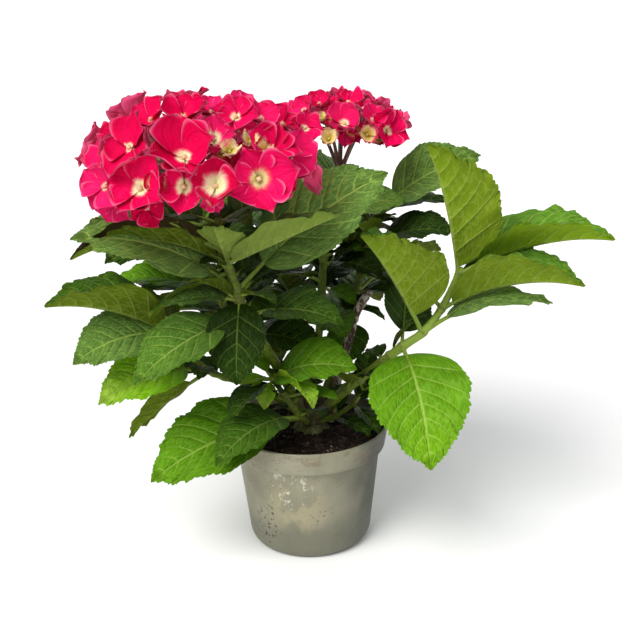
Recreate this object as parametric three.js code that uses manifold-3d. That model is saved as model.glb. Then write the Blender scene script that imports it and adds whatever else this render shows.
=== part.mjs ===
// A potted hydrangea in flower: a tapered nursery pot full of compost, a woody root crown,
// nine shoots that carry pairs of broad leaves, one dead cut twig and two domes of florets.
// Millimetres, +Z up, +X to the right and -Y towards the viewer. The origin is the middle
// of the pot's flat underside.

import * as THREE from 'three';
import { mergeVertices } from 'three/addons/utils/BufferGeometryUtils.js';
import Module from 'manifold-3d';

const wasm = await Module();
wasm.setup();

const GAP = 0.3; // clearance between neighbouring pieces
const UP = new THREE.Vector3(0, 0, 1);

// Driving sizes
const POT = {
  height: 100, rimRadius: 65, bandRadius: 61.8, bandFoot: 81, bodyRadius: 58,
  heelRadius: 50, heelHeight: 13, footRadius: 42, wall: 1.6, floor: 2.4,
  drainHoles: 6, drainRadius: 4, drainCircle: 27, sides: 32,
};
const SOIL_LEVEL = 91;
// The crown's rings from its foot upwards: share of its height, and radius
const CROWN = {
  height: 17, centre: [2, 4], sides: 9,
  rings: [[0, 15], [0.16, 12], [0.45, 9.5], [0.78, 10.3], [1, 5.9]],
};
// Half the width of a blade goes with v^baseFullness (1 - v)^tipFullness. The petiole runs on
// under the midrib, and its rings stand at shares of the leaf's length.
const LEAF = {
  petiole: 0.2, fold: 16, leastThickness: 1.1, thicknessShare: 1 / 90,
  baseFullness: 0.6, tipFullness: 0.85, stations: [0.1, 0.27, 0.47, 0.68, 0.87],
  petioleRings: [[0, 2.2], [0.2, 1.9], [0.46, 1]], petioleDrop: 0.9, fullSizeLength: 100,
};
const STEM = { tipShare: 0.62, sides: 6, jointBelowNode: 0.3, tipAboveNode: 0.16 };

// Each shoot is a limb through a few points, from the root crown outwards. Its bough ends just
// short of the place `leafy`, counted in points along the way, where its mass of leaves begins,
// and joints further on are counted the same way. A leaf is
// [joint, bearing, rise, length, width, roll, arch, fold, petiole]: bearing is the compass turn
// from +X towards +Y, rise its slope, length runs from the stem to the tip, roll lifts the
// right edge, and fold lifts both halves from the midrib (degrees and millimetres). Arch is
// the height of its bow and petiole the stalk's length, both as shares of the leaf's length.
// `grown` gives the joints, and the first leaf's bearing, where the growing rule adds a pair.
const SHOOTS = {
  left_flower: {
    way: [
      [-3, -1, 104], [-20, -15, 148], [-44, -39, 204], [-49, -45, 226], [-55, -52, 250], [-60, -50, 284],
    ],
    radius: 4.3, leafy: 2,
    leaves: [
      [2, -146, -18, 100, 50, 22, 0.08], [2, -28, 4, 82, 42, -18, 0.1], [2.6, -96, -62, 64, 46, 0, 0.1],
      [3, -159, 25, 130, 68, 30, 0.1, 14], [3, 4, 37, 140, 68, -44, 0.05, 12], [2.8, 30, 24, 62, 42, 0, 0.1],
      [4, -167, 7, 112, 56, -12, 0.14, 38, 0.06], [4, -20, 24, 100, 62, 12, 0.07, 42, 0.05],
      [5, 42, 2, 66, 46, -10, 0.1], [5, 166, 0, 62, 40, 10, 0.1],
    ],
    grown: [],
  },
  rear_flower: {
    way: [[2, 5, 105], [5, 11, 130], [12, 28, 174], [16, 46, 217], [26, 58, 263]],
    radius: 4, leafy: 2,
    leaves: [
      [2, -70, 6, 56, 38, -10, 0.1], [2, -165, 10, 72, 44, 10, 0.12],
      [2.7, -142, 14, 62, 44, 0, 0.1], [2.6, -38, -15, 34, 28, 0, 0.08],
      [3, -44, 2, 62, 40, -10, 0.1], [3, -146, 44, 52, 36, 10, 0.1],
      [4, -14, 12, 62, 30, -40, 0.08], [4, -122, 26, 48, 32, 0, 0.1],
    ],
    grown: [[2.5, 40], [3.4, -60], [4, 80]],
  },
  right: {
    way: [
      [8, 3, 103], [34, -6, 131], [58, -12, 152], [75, -15, 167], [91, -14, 178], [106, -10, 196],
      [122, -4, 227],
    ],
    radius: 4.3, leafy: 3,
    leaves: [
      [3, -80, -38, 106, 76, -8, 0.14, 10, 0.1], [3, 80, 40, 62, 44, -30, 0.04],
      [4, -150, 58, 104, 82, 0, 0.03, 46, 0.16], [4, -4, 14, 102, 28, -14, 0.12, 10],
      [5, -14, 13, 110, 72, 2, 0.1, 50, 0.08], [5, 132, 16, 74, 44, 10, 0.1],
      [6, -140, 72, 112, 80, 0, 0.04, 44, 0.05], [6, -6, 14, 120, 64, 0, 0.085, 44, 0.12],
    ],
    grown: [[6, 90]],
  },
  low_left: {
    way: [[-4, 5, 100], [-36, -2, 130], [-77, -12, 150], [-109, -23, 193]],
    radius: 3.3, leafy: 2,
    leaves: [
      [2, -150, -4, 92, 54, 25, 0.12], [2, -166, -36, 82, 26, -55, 0.04],
      [3, -156, 22, 100, 68, -5, 0.08, 42, 0.06], [3, -150, -6, 79, 54, 28, 0.1, 14, 0.1],
      [3, 58, 42, 46, 34, 60, 0.05],
    ],
    grown: [],
  },
  front: {
    way: [[1, -3, 98], [-5, -17, 110], [-17, -25, 132], [-28, -29, 152]],
    radius: 3, leafy: 1,
    leaves: [
      [1, -160, -14, 128, 68, 32, 0.08], [1, -136, -6, 90, 48, 12, 0.14],
      [3, -24, 14, 72, 54, -22, 0.1, 14, 0.05], [3, -56, -6, 56, 32, 30, 0.14, 30],
      [3, -129, 12, 36, 20, 0, 0.05], [3, 140, 30, 34, 18, 0, 0.05],
      [2, -34, 10, 50, 22, 0, 0.06],
    ],
    grown: [],
  },
  low_right: {
    way: [[6, -2, 98], [20, -5, 104], [36, 1, 112], [47, 8, 124]],
    radius: 2.4, leafy: 1,
    leaves: [
      [1, -48, -4, 42, 24, 0, 0.1], [2, 18, 28, 40, 24, -20, 0.1],
      [2, -60, -16, 40, 22, 10, 0.1], [3, 70, 52, 34, 22, -20, 0.08],
      [3, -30, 22, 40, 22, 0, 0.08],
    ],
    grown: [],
  },
  rear_left: {
    way: [[-3, 8, 103], [-30, 26, 145], [-60, 26, 182], [-78, 28, 212], [-92, 36, 240]],
    radius: 3.7, leafy: 1.5,
    leaves: [
      [1.5, -24, -6, 64, 42, -20, 0.1], [1.5, 176, -14, 56, 40, -10, 0.1],
      [2, 176, 0, 62, 40, 0, 0.1], [2, 58, 14, 68, 44, 0, 0.1], [2.5, -178, 12, 84, 44, 10, 0.1],
      [3, -172, 24, 72, 42, 15, 0.1], [3, -20, 24, 74, 44, 0, 0.1],
    ],
    grown: [[1.8, 110], [2.5, -50], [3, 80], [4, 130], [4, 40]],
  },
  rear_right: {
    way: [[8, 9, 102], [28, 36, 146], [42, 54, 190], [53, 63, 226], [62, 70, 256]],
    radius: 3.8, leafy: 1.6,
    leaves: [
      [1.6, -98, -56, 42, 36, 0, 0.08], [1.6, 70, 4, 96, 52, 0, 0.1], [2, -18, -5, 42, 28, 0, 0.1],
      [4, -7, 31, 98, 52, -40, 0.08], [3, -104, 36, 52, 36, -20, 0.06],
      [3, -24, 14, 78, 44, -20, 0.1], [4, 16, 4, 66, 38, -10, 0.1],
    ],
    grown: [[2, 30], [2.5, -70], [3, 70], [4, 110]],
  },
  rear: {
    way: [[0, 11, 100], [-4, 44, 138], [-10, 66, 180], [-16, 80, 216], [-20, 88, 246]],
    radius: 3.6, leafy: 1.5,
    leaves: [
      [2, -150, -18, 56, 42, 0, 0.1], [2, -38, -20, 46, 36, 0, 0.1], [3, -140, 8, 64, 44, 0, 0.1],
    ],
    grown: [[1.5, 5], [1.9, 95], [2, 20], [2.4, -70], [3, 110], [3.3, 20], [4, 15], [4, 105]],
  },
};

// The rule for the pairs that grow on the far side: longer and flatter low down, with a
// seeded spread. A leaf that would touch what already grows is turned, at most `tries` times,
// and left out if it still touches.
const GROWTH = {
  seed: 89, tries: 7, length: 104, lengthLoss: 5, rise: -4, riseGain: 10, widthShare: 0.56,
  lengthLossPerTry: 3, bearingSpread: 46, riseSpread: 34, rollSpread: 30, firstSpread: 0.3,
  arch: 0.1, clearOfLeaf: 10, clearOfStem: 6.5,
};

// Domes of florets: `spread` is the half size of the dome of floret middles. A floret is
// [bearing on the dome, height angle on the dome, radius].
const BLOOMS = {
  bloom_left: {
    shoot: 'left_flower', middle: [-70, -64, 324], spread: [73, 60, 41], hub: [-65, -56, 303], rays: 6,
    florets: [
      [-100, 6, 25], [-132, -20, 26], [-80, -16, 20], [-50, -14, 23], [-64, 26, 12],
      [-58, 50, 19], [-44, 14, 16], [-152, 24, 23], [-168, -21, 22], [-118, 58, 21],
      [-30, 36, 21], [-18, 4, 23], [178, 12, 20], [-104, -46, 17], [-86, 34, 14],
      [-138, 44, 18], [-146, 2, 18], [-68, 5, 17], [-112, 38, 16],
    ],
    fill: { count: 40, radius: 23, apart: 0.68, lowest: -0.3 },
  },
  bloom_rear: {
    shoot: 'rear_flower', middle: [34, 66, 328], spread: [45, 38, 19], hub: [31, 62, 300], rays: 5,
    florets: [
      [-110, 10, 15], [-62, 20, 13], [-34, -6, 16], [-155, 0, 15], [-94, -12, 13],
      [-54, -26, 15], [-150, -44, 17], [-12, -30, 17], [166, 34, 15], [-110, 44, 15],
    ],
    fill: { count: 26, radius: 15, apart: 0.8, lowest: -0.35 },
  },
};
const STALK = {
  radius: 2.6, tipRadius: 2.2, bend: 0.4, aboveHub: 0.3, rayReach: 0.45, firstRay: 0.4, rayRadii: [1.7, 1.2],
};
const FLORET = {
  lobes: 4, notch: 0.8, cup: 0.3, thickness: 1.1, spin: 1.07, lean: [0, -0.2, 0.25],
  stalkRadii: [1, 0.8], stalkSunk: 1.5, stalkShort: 0.5,
};

const DEAD_TWIG = {
  way: [
    [18, 16, SOIL_LEVEL + 2 * GAP], [18.6, 16.2, 101], [25, 18, 128], [35, 18, 164], [42, 18, 186],
    [52, 19, 202],
  ],
  radii: [3.8, 3.2],
};

const COLOURS = {
  pot: 0xa5a087, soil: 0x2a1a12, wood: 0x6b5a3a, dead: 0x3f2c22,
  stem: 0x8ea045, leaf: 0x4f8a2c, sepal: 0xe0134f,
};

const vector = (point) => new THREE.Vector3(...point);
const radians = THREE.MathUtils.degToRad;

function material(colour, roughness) {
  return new THREE.MeshStandardMaterial({ color: colour, roughness, metalness: 0 });
}

// A closed solid from points and triangles
function solid(points, triangles) {
  const vertProperties = new Float32Array(points.flatMap((point) => point.toArray()));
  const triVerts = new Uint32Array(triangles.flat());
  return new wasm.Manifold(new wasm.Mesh({ numProp: 3, vertProperties, triVerts }));
}

// The same from one of three.js's own shapes, once its doubled vertices are merged
function solidOf(geometry) {
  geometry.deleteAttribute('normal');
  geometry.deleteAttribute('uv');
  const merged = mergeVertices(geometry, 1e-4);
  const { array } = merged.getAttribute('position');
  const mesh = new wasm.Mesh({ numProp: 3, vertProperties: array, triVerts: merged.index.array });
  return new wasm.Manifold(mesh);
}

function meshOf(name, body, colour, roughness) {
  const { vertProperties, triVerts } = body.getMesh();
  const geometry = new THREE.BufferGeometry();
  geometry.setAttribute('position', new THREE.BufferAttribute(vertProperties, 3));
  geometry.setIndex(new THREE.BufferAttribute(triVerts, 1));
  geometry.computeVertexNormals();
  const mesh = new THREE.Mesh(geometry, material(colour, roughness));
  mesh.name = name;
  return mesh;
}

const fuse = (solids) => solids.reduce((whole, part) => whole.add(part));

// Point `u` along a way: a uniform Catmull-Rom curve, with straight run-outs at its ends
function along(way, u) {
  const last = way.length - 1;
  const i = Math.min(Math.max(Math.floor(u), 0), last - 1);
  const t = u - i;
  const p1 = vector(way[i]);
  const p2 = vector(way[i + 1]);
  const p0 = i > 0 ? vector(way[i - 1]) : p1.clone().multiplyScalar(2).sub(p2);
  const p3 = i + 2 <= last ? vector(way[i + 2]) : p2.clone().multiplyScalar(2).sub(p1);
  return new THREE.Vector3()
    .addScaledVector(p0, -0.5 * t + t * t - 0.5 * t ** 3)
    .addScaledVector(p1, 1 - 2.5 * t * t + 1.5 * t ** 3)
    .addScaledVector(p2, 0.5 * t + 2 * t * t - 1.5 * t ** 3)
    .addScaledVector(p3, -0.5 * t * t + 0.5 * t ** 3);
}

// Direction of the way at `u`
function runAt(way, u) {
  const step = 0.01;
  return along(way, u + step / 2).sub(along(way, u - step / 2)).normalize();
}

// A tapering limb through points, with one ring of `sides` corners square to its run at each;
// the runs are worked out from the points where they aren't given
function limb(points, radii, sides, runs) {
  const corners = [];
  const triangles = [];
  let side = Math.abs(points[1].clone().sub(points[0]).normalize().z) > 0.9
    ? new THREE.Vector3(1, 0, 0) : new THREE.Vector3(0, 0, 1);
  points.forEach((point, i) => {
    const run = runs ? runs[i] : points[Math.min(i + 1, points.length - 1)].clone()
      .sub(points[Math.max(i - 1, 0)]).normalize();
    side = side.addScaledVector(run, -side.dot(run)).normalize();
    const other = run.clone().cross(side);
    for (let k = 0; k < sides; k += 1) {
      const turn = (2 * Math.PI * k) / sides;
      corners.push(point.clone()
        .addScaledVector(side, radii[i] * Math.cos(turn))
        .addScaledVector(other, radii[i] * Math.sin(turn)));
    }
    side = side.clone();
  });
  const end = (points.length - 1) * sides;
  for (let i = 0; i < points.length - 1; i += 1) {
    for (let k = 0; k < sides; k += 1) {
      const a = i * sides + k;
      const b = i * sides + ((k + 1) % sides);
      triangles.push([a, b, b + sides], [a, b + sides, a + sides]);
    }
  }
  for (let k = 1; k < sides - 1; k += 1) {
    triangles.push([0, k + 1, k], [end, end + k, end + k + 1]);
  }
  return solid(corners, triangles);
}

// The stretch of a shoot's stem between two places along its way
function stem({ way, radius }, from, to, steps) {
  const points = [];
  const radii = [];
  const runs = [];
  for (let i = 0; i <= steps; i += 1) {
    const u = from + ((to - from) * i) / steps;
    points.push(along(way, u));
    radii.push(radius * THREE.MathUtils.lerp(1, STEM.tipShare, u / (way.length - 1)));
    runs.push(runAt(way, u));
  }
  return limb(points, radii, STEM.sides, runs);
}

// A leaf's own directions: along the chord from stem to tip, to its right, and out of its face
function leafAxes(leaf) {
  const run = new THREE.Vector3(
    Math.cos(radians(leaf.rise)) * Math.cos(radians(leaf.bearing)),
    Math.cos(radians(leaf.rise)) * Math.sin(radians(leaf.bearing)),
    Math.sin(radians(leaf.rise)),
  );
  const level = run.clone().cross(UP).normalize();
  const bow = level.clone().cross(run);
  const roll = radians(leaf.roll);
  const right = level.clone().multiplyScalar(Math.cos(roll)).addScaledVector(bow, Math.sin(roll));
  const face = bow.clone().multiplyScalar(Math.cos(roll)).addScaledVector(level, -Math.sin(roll));
  return { run, right, face, bow };
}

// Point of the midrib at the share `t` of the leaf's length: it bows up in its upright plane
function ribPoint(leaf, axes, t) {
  return leaf.foot.clone()
    .addScaledVector(axes.run, leaf.length * t)
    .addScaledVector(axes.bow, leaf.arch * leaf.length * 4 * t * (1 - t));
}

// Share of the blade's full width at `v` along it
function fullness(v) {
  const outline = (at) => at ** LEAF.baseFullness * (1 - at) ** LEAF.tipFullness;
  return outline(v) / outline(LEAF.baseFullness / (LEAF.baseFullness + LEAF.tipFullness));
}

// Point of a leaf at `v` along its blade, from 0 at the petiole to 1 at the tip, and `q` across
// it, from -1 to 1. Both halves fold up from the midrib.
function leafPoint(leaf, axes, v, q) {
  const half = (leaf.width / 2) * fullness(v);
  return ribPoint(leaf, axes, leaf.petiole + (1 - leaf.petiole) * v)
    .addScaledVector(axes.right, half * q * Math.cos(radians(leaf.fold)))
    .addScaledVector(axes.face, half * Math.abs(q) * Math.sin(radians(leaf.fold)));
}

// A blade with sharp edges and its full thickness under the midrib, and the petiole sunk in it
function leafSolid(leaf) {
  const axes = leafAxes(leaf);
  const thickness = Math.max(LEAF.leastThickness, leaf.length * LEAF.thicknessShare);
  const points = [leafPoint(leaf, axes, 0, 0)];
  LEAF.stations.forEach((v) => {
    const rib = leafPoint(leaf, axes, v, 0);
    points.push(leafPoint(leaf, axes, v, -1), rib, leafPoint(leaf, axes, v, 1));
    points.push(rib.clone().addScaledVector(axes.face, -thickness));
  });
  points.push(leafPoint(leaf, axes, 1, 0));
  const tip = points.length - 1;
  const triangles = [];
  // left edge, rib, right edge and rib's underside are the four corners of each station
  for (let k = 0; k < 4; k += 1) {
    const next = (k + 1) % 4;
    triangles.push([0, 1 + next, 1 + k]);
    for (let i = 0; i < LEAF.stations.length - 1; i += 1) {
      const a = 1 + 4 * i;
      triangles.push([a + k, a + next, a + 4 + next], [a + k, a + 4 + next, a + 4 + k]);
    }
    triangles.push([tip - 4 + k, tip - 4 + next, tip]);
  }
  // a short leaf has a thinner petiole
  const size = Math.min(1, 0.45 + (0.55 * leaf.length) / LEAF.fullSizeLength);
  const petiole = limb(
    LEAF.petioleRings.map(
      ([t]) => ribPoint(leaf, axes, t).addScaledVector(axes.face, -LEAF.petioleDrop * size),
    ),
    LEAF.petioleRings.map(([, radius]) => radius * size),
    3,
  );
  return solid(points, triangles).add(petiole);
}

// Points all over a leaf and along a stem, for telling whether a new leaf would touch
function leafSamples(leaf) {
  const axes = leafAxes(leaf);
  const samples = [];
  for (let i = 0; i < 9; i += 1) {
    for (let k = -2; k <= 2; k += 1) samples.push(leafPoint(leaf, axes, 0.2 + 0.1 * i, k / 2));
  }
  return samples;
}

function stemSamples(way) {
  const samples = [];
  for (let u = 0; u <= way.length - 1; u += 0.25) samples.push(along(way, u));
  return samples;
}

const touches = (samples, others, clear) => samples.some(
  (a) => others.some((b) => a.distanceToSquared(b) < clear * clear),
);

// Numbers from 0 to 1 by a linear congruential rule
function seeded(seed) {
  let state = seed;
  return () => {
    state = (Math.imul(state, 1664525) + 1013904223) >>> 0;
    return state / 4294967296;
  };
}

// Where a leaf leaves its stem; a pair at the very tip stands a little below it
const leafFoot = (way, joint) => along(way, Math.min(joint, way.length - 1 - STEM.tipAboveNode));

// The leaves of every shoot: those set one by one, and then the pairs that the rule grows
function growLeaves() {
  const leaves = {};
  const stems = Object.values(SHOOTS).flatMap(({ way }) => stemSamples(way));
  const grown = [];
  Object.entries(SHOOTS).forEach(([name, shoot]) => {
    leaves[name] = shoot.leaves.map((
      [joint, bearing, rise, length, width, roll, arch, fold = LEAF.fold, petiole = LEAF.petiole],
    ) => ({
      foot: leafFoot(shoot.way, joint), bearing, rise, length, width, roll, arch, fold, petiole,
    }));
    leaves[name].forEach((leaf) => grown.push(...leafSamples(leaf)));
  });
  const random = seeded(GROWTH.seed);
  Object.entries(SHOOTS).forEach(([name, shoot]) => {
    shoot.grown.forEach(([joint, heading]) => {
      [0, 180].forEach((turn) => {
        const rank = joint - shoot.leafy;
        for (let attempt = 0; attempt < GROWTH.tries; attempt += 1) {
          const spread = THREE.MathUtils.lerp(GROWTH.firstSpread, 1, attempt / (GROWTH.tries - 1));
          const length = GROWTH.length - GROWTH.lengthLoss * rank - GROWTH.lengthLossPerTry * attempt;
          const leaf = {
            foot: leafFoot(shoot.way, joint),
            bearing: heading + turn + GROWTH.bearingSpread * spread * (random() * 2 - 1),
            rise: GROWTH.rise + GROWTH.riseGain * rank + GROWTH.riseSpread * spread * (random() * 2 - 1),
            length,
            width: GROWTH.widthShare * length,
            roll: GROWTH.rollSpread * (random() * 2 - 1),
            arch: GROWTH.arch,
            fold: LEAF.fold,
            petiole: LEAF.petiole,
          };
          const samples = leafSamples(leaf);
          if (!touches(samples, grown, GROWTH.clearOfLeaf) && !touches(samples, stems, GROWTH.clearOfStem)) {
            leaves[name].push(leaf);
            grown.push(...samples);
            break;
          }
        }
      });
    });
  });
  return leaves;
}

// The pot: a thin tapered shell with a turned-out band round its rim and a rounded heel
function potProfile() {
  const { height, rimRadius, bandRadius, bandFoot, bodyRadius, wall, floor } = POT;
  const { heelRadius, heelHeight, footRadius } = POT;
  const outside = [];
  for (let i = 0; i <= 3; i += 1) {
    const turn = (Math.PI / 2) * (i / 3);
    outside.push([
      footRadius + (heelRadius - footRadius) * Math.sin(turn),
      heelHeight * (1 - Math.cos(turn)),
    ]);
  }
  outside.push(
    [bodyRadius, bandFoot - 1], [bandRadius, bandFoot], [rimRadius - 0.5, height - 0.6],
    [rimRadius - 1, height],
  );
  const inside = [
    [rimRadius - 1 - wall, height], [bandRadius - wall, bandFoot + 2], [bodyRadius - wall, bandFoot - 2.5],
    [heelRadius - wall, heelHeight], [footRadius - 0.5, floor],
  ];
  return { outside, inside };
}

function lathe(profile) {
  const points = profile.map(([r, z]) => new THREE.Vector2(r, z));
  return new THREE.LatheGeometry(points, POT.sides).rotateX(Math.PI / 2);
}

function makePot() {
  const { outside, inside } = potProfile();
  let pot = solidOf(lathe([[0, 0], ...outside, ...inside, [0, POT.floor]]));
  for (let i = 0; i < POT.drainHoles; i += 1) {
    const turn = (2 * Math.PI * (i + 0.5)) / POT.drainHoles;
    const hole = new THREE.CylinderGeometry(POT.drainRadius, POT.drainRadius, 4 * POT.floor, 10)
      .rotateX(Math.PI / 2)
      .translate(POT.drainCircle * Math.cos(turn), POT.drainCircle * Math.sin(turn), 0);
    pot = pot.subtract(solidOf(hole));
  }
  return meshOf('pot', pot, COLOURS.pot, 0.45);
}

// The compost fills the pot's inside up to its level, a hair clear of the wall
function makeSoil() {
  const wallRun = potProfile().inside.slice().reverse().map(([r, z]) => [r - GAP, z]);
  wallRun[0][1] += GAP;
  const below = wallRun.filter(([, z]) => z < SOIL_LEVEL);
  const [r0, z0] = below[below.length - 1];
  const [r1, z1] = wallRun[below.length];
  const edge = r0 + ((r1 - r0) * (SOIL_LEVEL - z0)) / (z1 - z0);
  const profile = [[0, POT.floor + GAP], ...below, [edge, SOIL_LEVEL], [0, SOIL_LEVEL]];
  return meshOf('soil', solidOf(lathe(profile)), COLOURS.soil, 0.95);
}

// The woody crown: a knuckle cut flat on the compost, flared at its foot. Grown by a hair it is
// the hollow that its boughs are cut back to.
function crownSolid(grow) {
  const points = CROWN.rings.map(([level]) => new THREE.Vector3(
    ...CROWN.centre, SOIL_LEVEL + GAP + CROWN.height * level + (level === 1 ? grow : 0),
  ));
  return limb(points, CROWN.rings.map(([, radius]) => radius + grow), CROWN.sides);
}

// A floret: one cupped plate of four broad lobes, as a shallow closed shell
function floretSolid(middle, face, radius, spin) {
  const side = Math.abs(face.z) > 0.9 ? new THREE.Vector3(1, 0, 0) : UP.clone();
  side.addScaledVector(face, -side.dot(face)).normalize();
  const other = face.clone().cross(side);
  const points = [];
  for (let lobe = 0; lobe < FLORET.lobes; lobe += 1) {
    [[0, 1], [Math.PI / FLORET.lobes, FLORET.notch]].forEach(([off, reach]) => {
      const turn = (2 * Math.PI * lobe) / FLORET.lobes + off + spin;
      const r = radius * reach;
      points.push(middle.clone()
        .addScaledVector(side, r * Math.cos(turn))
        .addScaledVector(other, r * Math.sin(turn))
        .addScaledVector(face, FLORET.cup * r * reach));
    });
  }
  const rim = points.length;
  points.push(middle.clone(), middle.clone().addScaledVector(face, -FLORET.thickness));
  const triangles = [];
  for (let k = 0; k < rim; k += 1) {
    const next = (k + 1) % rim;
    triangles.push([rim, k, next], [rim + 1, next, k]);
  }
  return solid(points, triangles);
}

// Directions of a bloom's florets: those set one by one, then a spiral that fills the rest
function floretPlaces(bloom) {
  const places = bloom.florets.map(([bearing, height, radius]) => ({
    face: new THREE.Vector3(
      Math.cos(radians(height)) * Math.cos(radians(bearing)),
      Math.cos(radians(height)) * Math.sin(radians(bearing)),
      Math.sin(radians(height)),
    ),
    radius,
  }));
  const { count, radius, apart, lowest } = bloom.fill;
  for (let i = 0; i < count; i += 1) {
    const z = 1 - ((i + 0.5) / count) * (1 - lowest);
    const turn = i * Math.PI * (3 - Math.sqrt(5));
    const ring = Math.sqrt(1 - z * z);
    const face = new THREE.Vector3(ring * Math.cos(turn), ring * Math.sin(turn), z);
    if (places.every((place) => place.face.distanceTo(face) > apart)) places.push({ face, radius });
  }
  return places;
}

// A bloom: the flower stalk, its rays, a thread to every floret, and the florets
function bloomSolid(bloom) {
  const { way } = SHOOTS[bloom.shoot];
  const middle = vector(bloom.middle);
  const hub = vector(bloom.hub);
  const spread = vector(bloom.spread);
  const run = runAt(way, way.length - 1);
  const start = along(way, way.length - 1).addScaledVector(run, GAP);
  const bend = start.clone().addScaledVector(run, STALK.bend * start.distanceTo(hub));
  const parts = [limb(
    [start, bend, hub, hub.clone().lerp(middle, STALK.aboveHub)],
    [STALK.radius, STALK.radius, STALK.radius, STALK.tipRadius],
    6,
  )];
  const rayTips = [];
  for (let i = 0; i < bloom.rays; i += 1) {
    const turn = (2 * Math.PI * i) / bloom.rays + STALK.firstRay;
    const reach = new THREE.Vector3(Math.cos(turn), Math.sin(turn), 0).multiply(spread);
    rayTips.push(middle.clone().addScaledVector(reach, STALK.rayReach));
  }
  rayTips.push(middle.clone().addScaledVector(UP, STALK.aboveHub * spread.z));
  rayTips.forEach((tip) => parts.push(limb([hub, tip], STALK.rayRadii, 4)));
  floretPlaces(bloom).forEach(({ face, radius }, i) => {
    const centre = middle.clone().add(face.clone().multiply(spread));
    const ray = rayTips.reduce(
      (near, tip) => (tip.distanceTo(centre) < near.distanceTo(centre) ? tip : near),
    );
    const outward = centre.clone().sub(ray).normalize();
    const foot = ray.clone().addScaledVector(outward, -FLORET.stalkSunk);
    const head = centre.clone().addScaledVector(outward, -FLORET.stalkShort);
    const leaning = face.clone().add(vector(FLORET.lean)).normalize();
    parts.push(limb([foot, head], FLORET.stalkRadii, 3));
    parts.push(floretSolid(centre, leaning, radius, i * FLORET.spin));
  });
  return fuse(parts);
}

// The dead twig, cut square at its top
function twigSolid() {
  const { way, radii } = DEAD_TWIG;
  const points = [];
  for (let u = 0; u <= way.length - 1; u += 0.5) points.push(along(way, u));
  return limb(points, points.map((_, i) => THREE.MathUtils.lerp(...radii, i / (points.length - 1))), 6);
}

const hydrangea = new THREE.Group();
hydrangea.add(makePot(), makeSoil());
hydrangea.add(meshOf('root_crown', crownSolid(0), COLOURS.wood, 0.85));
hydrangea.add(meshOf('cut_twig', twigSolid(), COLOURS.dead, 0.9));

const leaves = growLeaves();
Object.entries(SHOOTS).forEach(([name, shoot]) => {
  const joint = shoot.leafy - STEM.jointBelowNode;
  const halfGap = (0.5 * GAP) / along(shoot.way, joint).distanceTo(along(shoot.way, joint + 1));
  const bough = stem(shoot, 0, joint - halfGap, 4).subtract(crownSolid(GAP));
  hydrangea.add(meshOf(`bough_${name}`, bough, COLOURS.stem, 0.7));
  const last = shoot.way.length - 1;
  const leafyStem = stem(shoot, joint + halfGap, last, 2 * Math.ceil(last - joint));
  const mass = fuse([leafyStem, ...leaves[name].map(leafSolid)]);
  hydrangea.add(meshOf(`leaves_${name}`, mass, COLOURS.leaf, 0.5));
});

Object.entries(BLOOMS).forEach(([name, bloom]) => {
  hydrangea.add(meshOf(name, bloomSolid(bloom), COLOURS.sepal, 0.5));
});

export default hydrangea;
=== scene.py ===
# A potted hydrangea in flower: its pot, compost, woody crown, shoots, leaves, two mophead
# blooms and a dead twig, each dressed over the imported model. Shapes are worked out in
# millimetres in the model's own frame and turned to metres as they enter a mesh.
import math

import bpy
import numpy as np
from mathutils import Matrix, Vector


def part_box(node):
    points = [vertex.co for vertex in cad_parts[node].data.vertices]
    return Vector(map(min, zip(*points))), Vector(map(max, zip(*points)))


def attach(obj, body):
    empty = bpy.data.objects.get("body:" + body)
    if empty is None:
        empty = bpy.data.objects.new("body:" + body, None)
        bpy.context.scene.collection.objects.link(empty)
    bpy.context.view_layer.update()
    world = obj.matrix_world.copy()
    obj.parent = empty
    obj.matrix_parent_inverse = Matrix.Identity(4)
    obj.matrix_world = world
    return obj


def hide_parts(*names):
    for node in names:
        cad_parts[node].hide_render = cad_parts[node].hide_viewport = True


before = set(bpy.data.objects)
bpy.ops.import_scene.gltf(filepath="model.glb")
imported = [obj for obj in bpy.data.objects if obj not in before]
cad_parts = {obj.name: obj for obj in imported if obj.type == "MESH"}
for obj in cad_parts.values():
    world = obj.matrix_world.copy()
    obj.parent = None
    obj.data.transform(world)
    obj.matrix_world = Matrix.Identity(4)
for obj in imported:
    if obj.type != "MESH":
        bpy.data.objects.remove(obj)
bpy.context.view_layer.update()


# The pot is a thin tapered nursery pot of beige-grey plastic, blow-moulded with a turned-out
# band round its rim, a rounded heel and a ring of drain holes in its floor. It is used: dirt
# has splashed and run down it, and water has dried on it in pale marks.
POT_HEIGHT, RIM_RADIUS, BAND_RADIUS, BAND_FOOT = 100.0, 65.0, 61.8, 81.0
BODY_RADIUS, HEEL_RADIUS, HEEL_HEIGHT, FOOT_RADIUS = 58.0, 50.0, 13.0, 42.0
POT_WALL, POT_FLOOR = 1.6, 2.4
DRAIN_HOLES, DRAIN_RADIUS, DRAIN_CIRCLE, DRAIN_REACH = 6, 4.0, 27.0, 9.0


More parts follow.
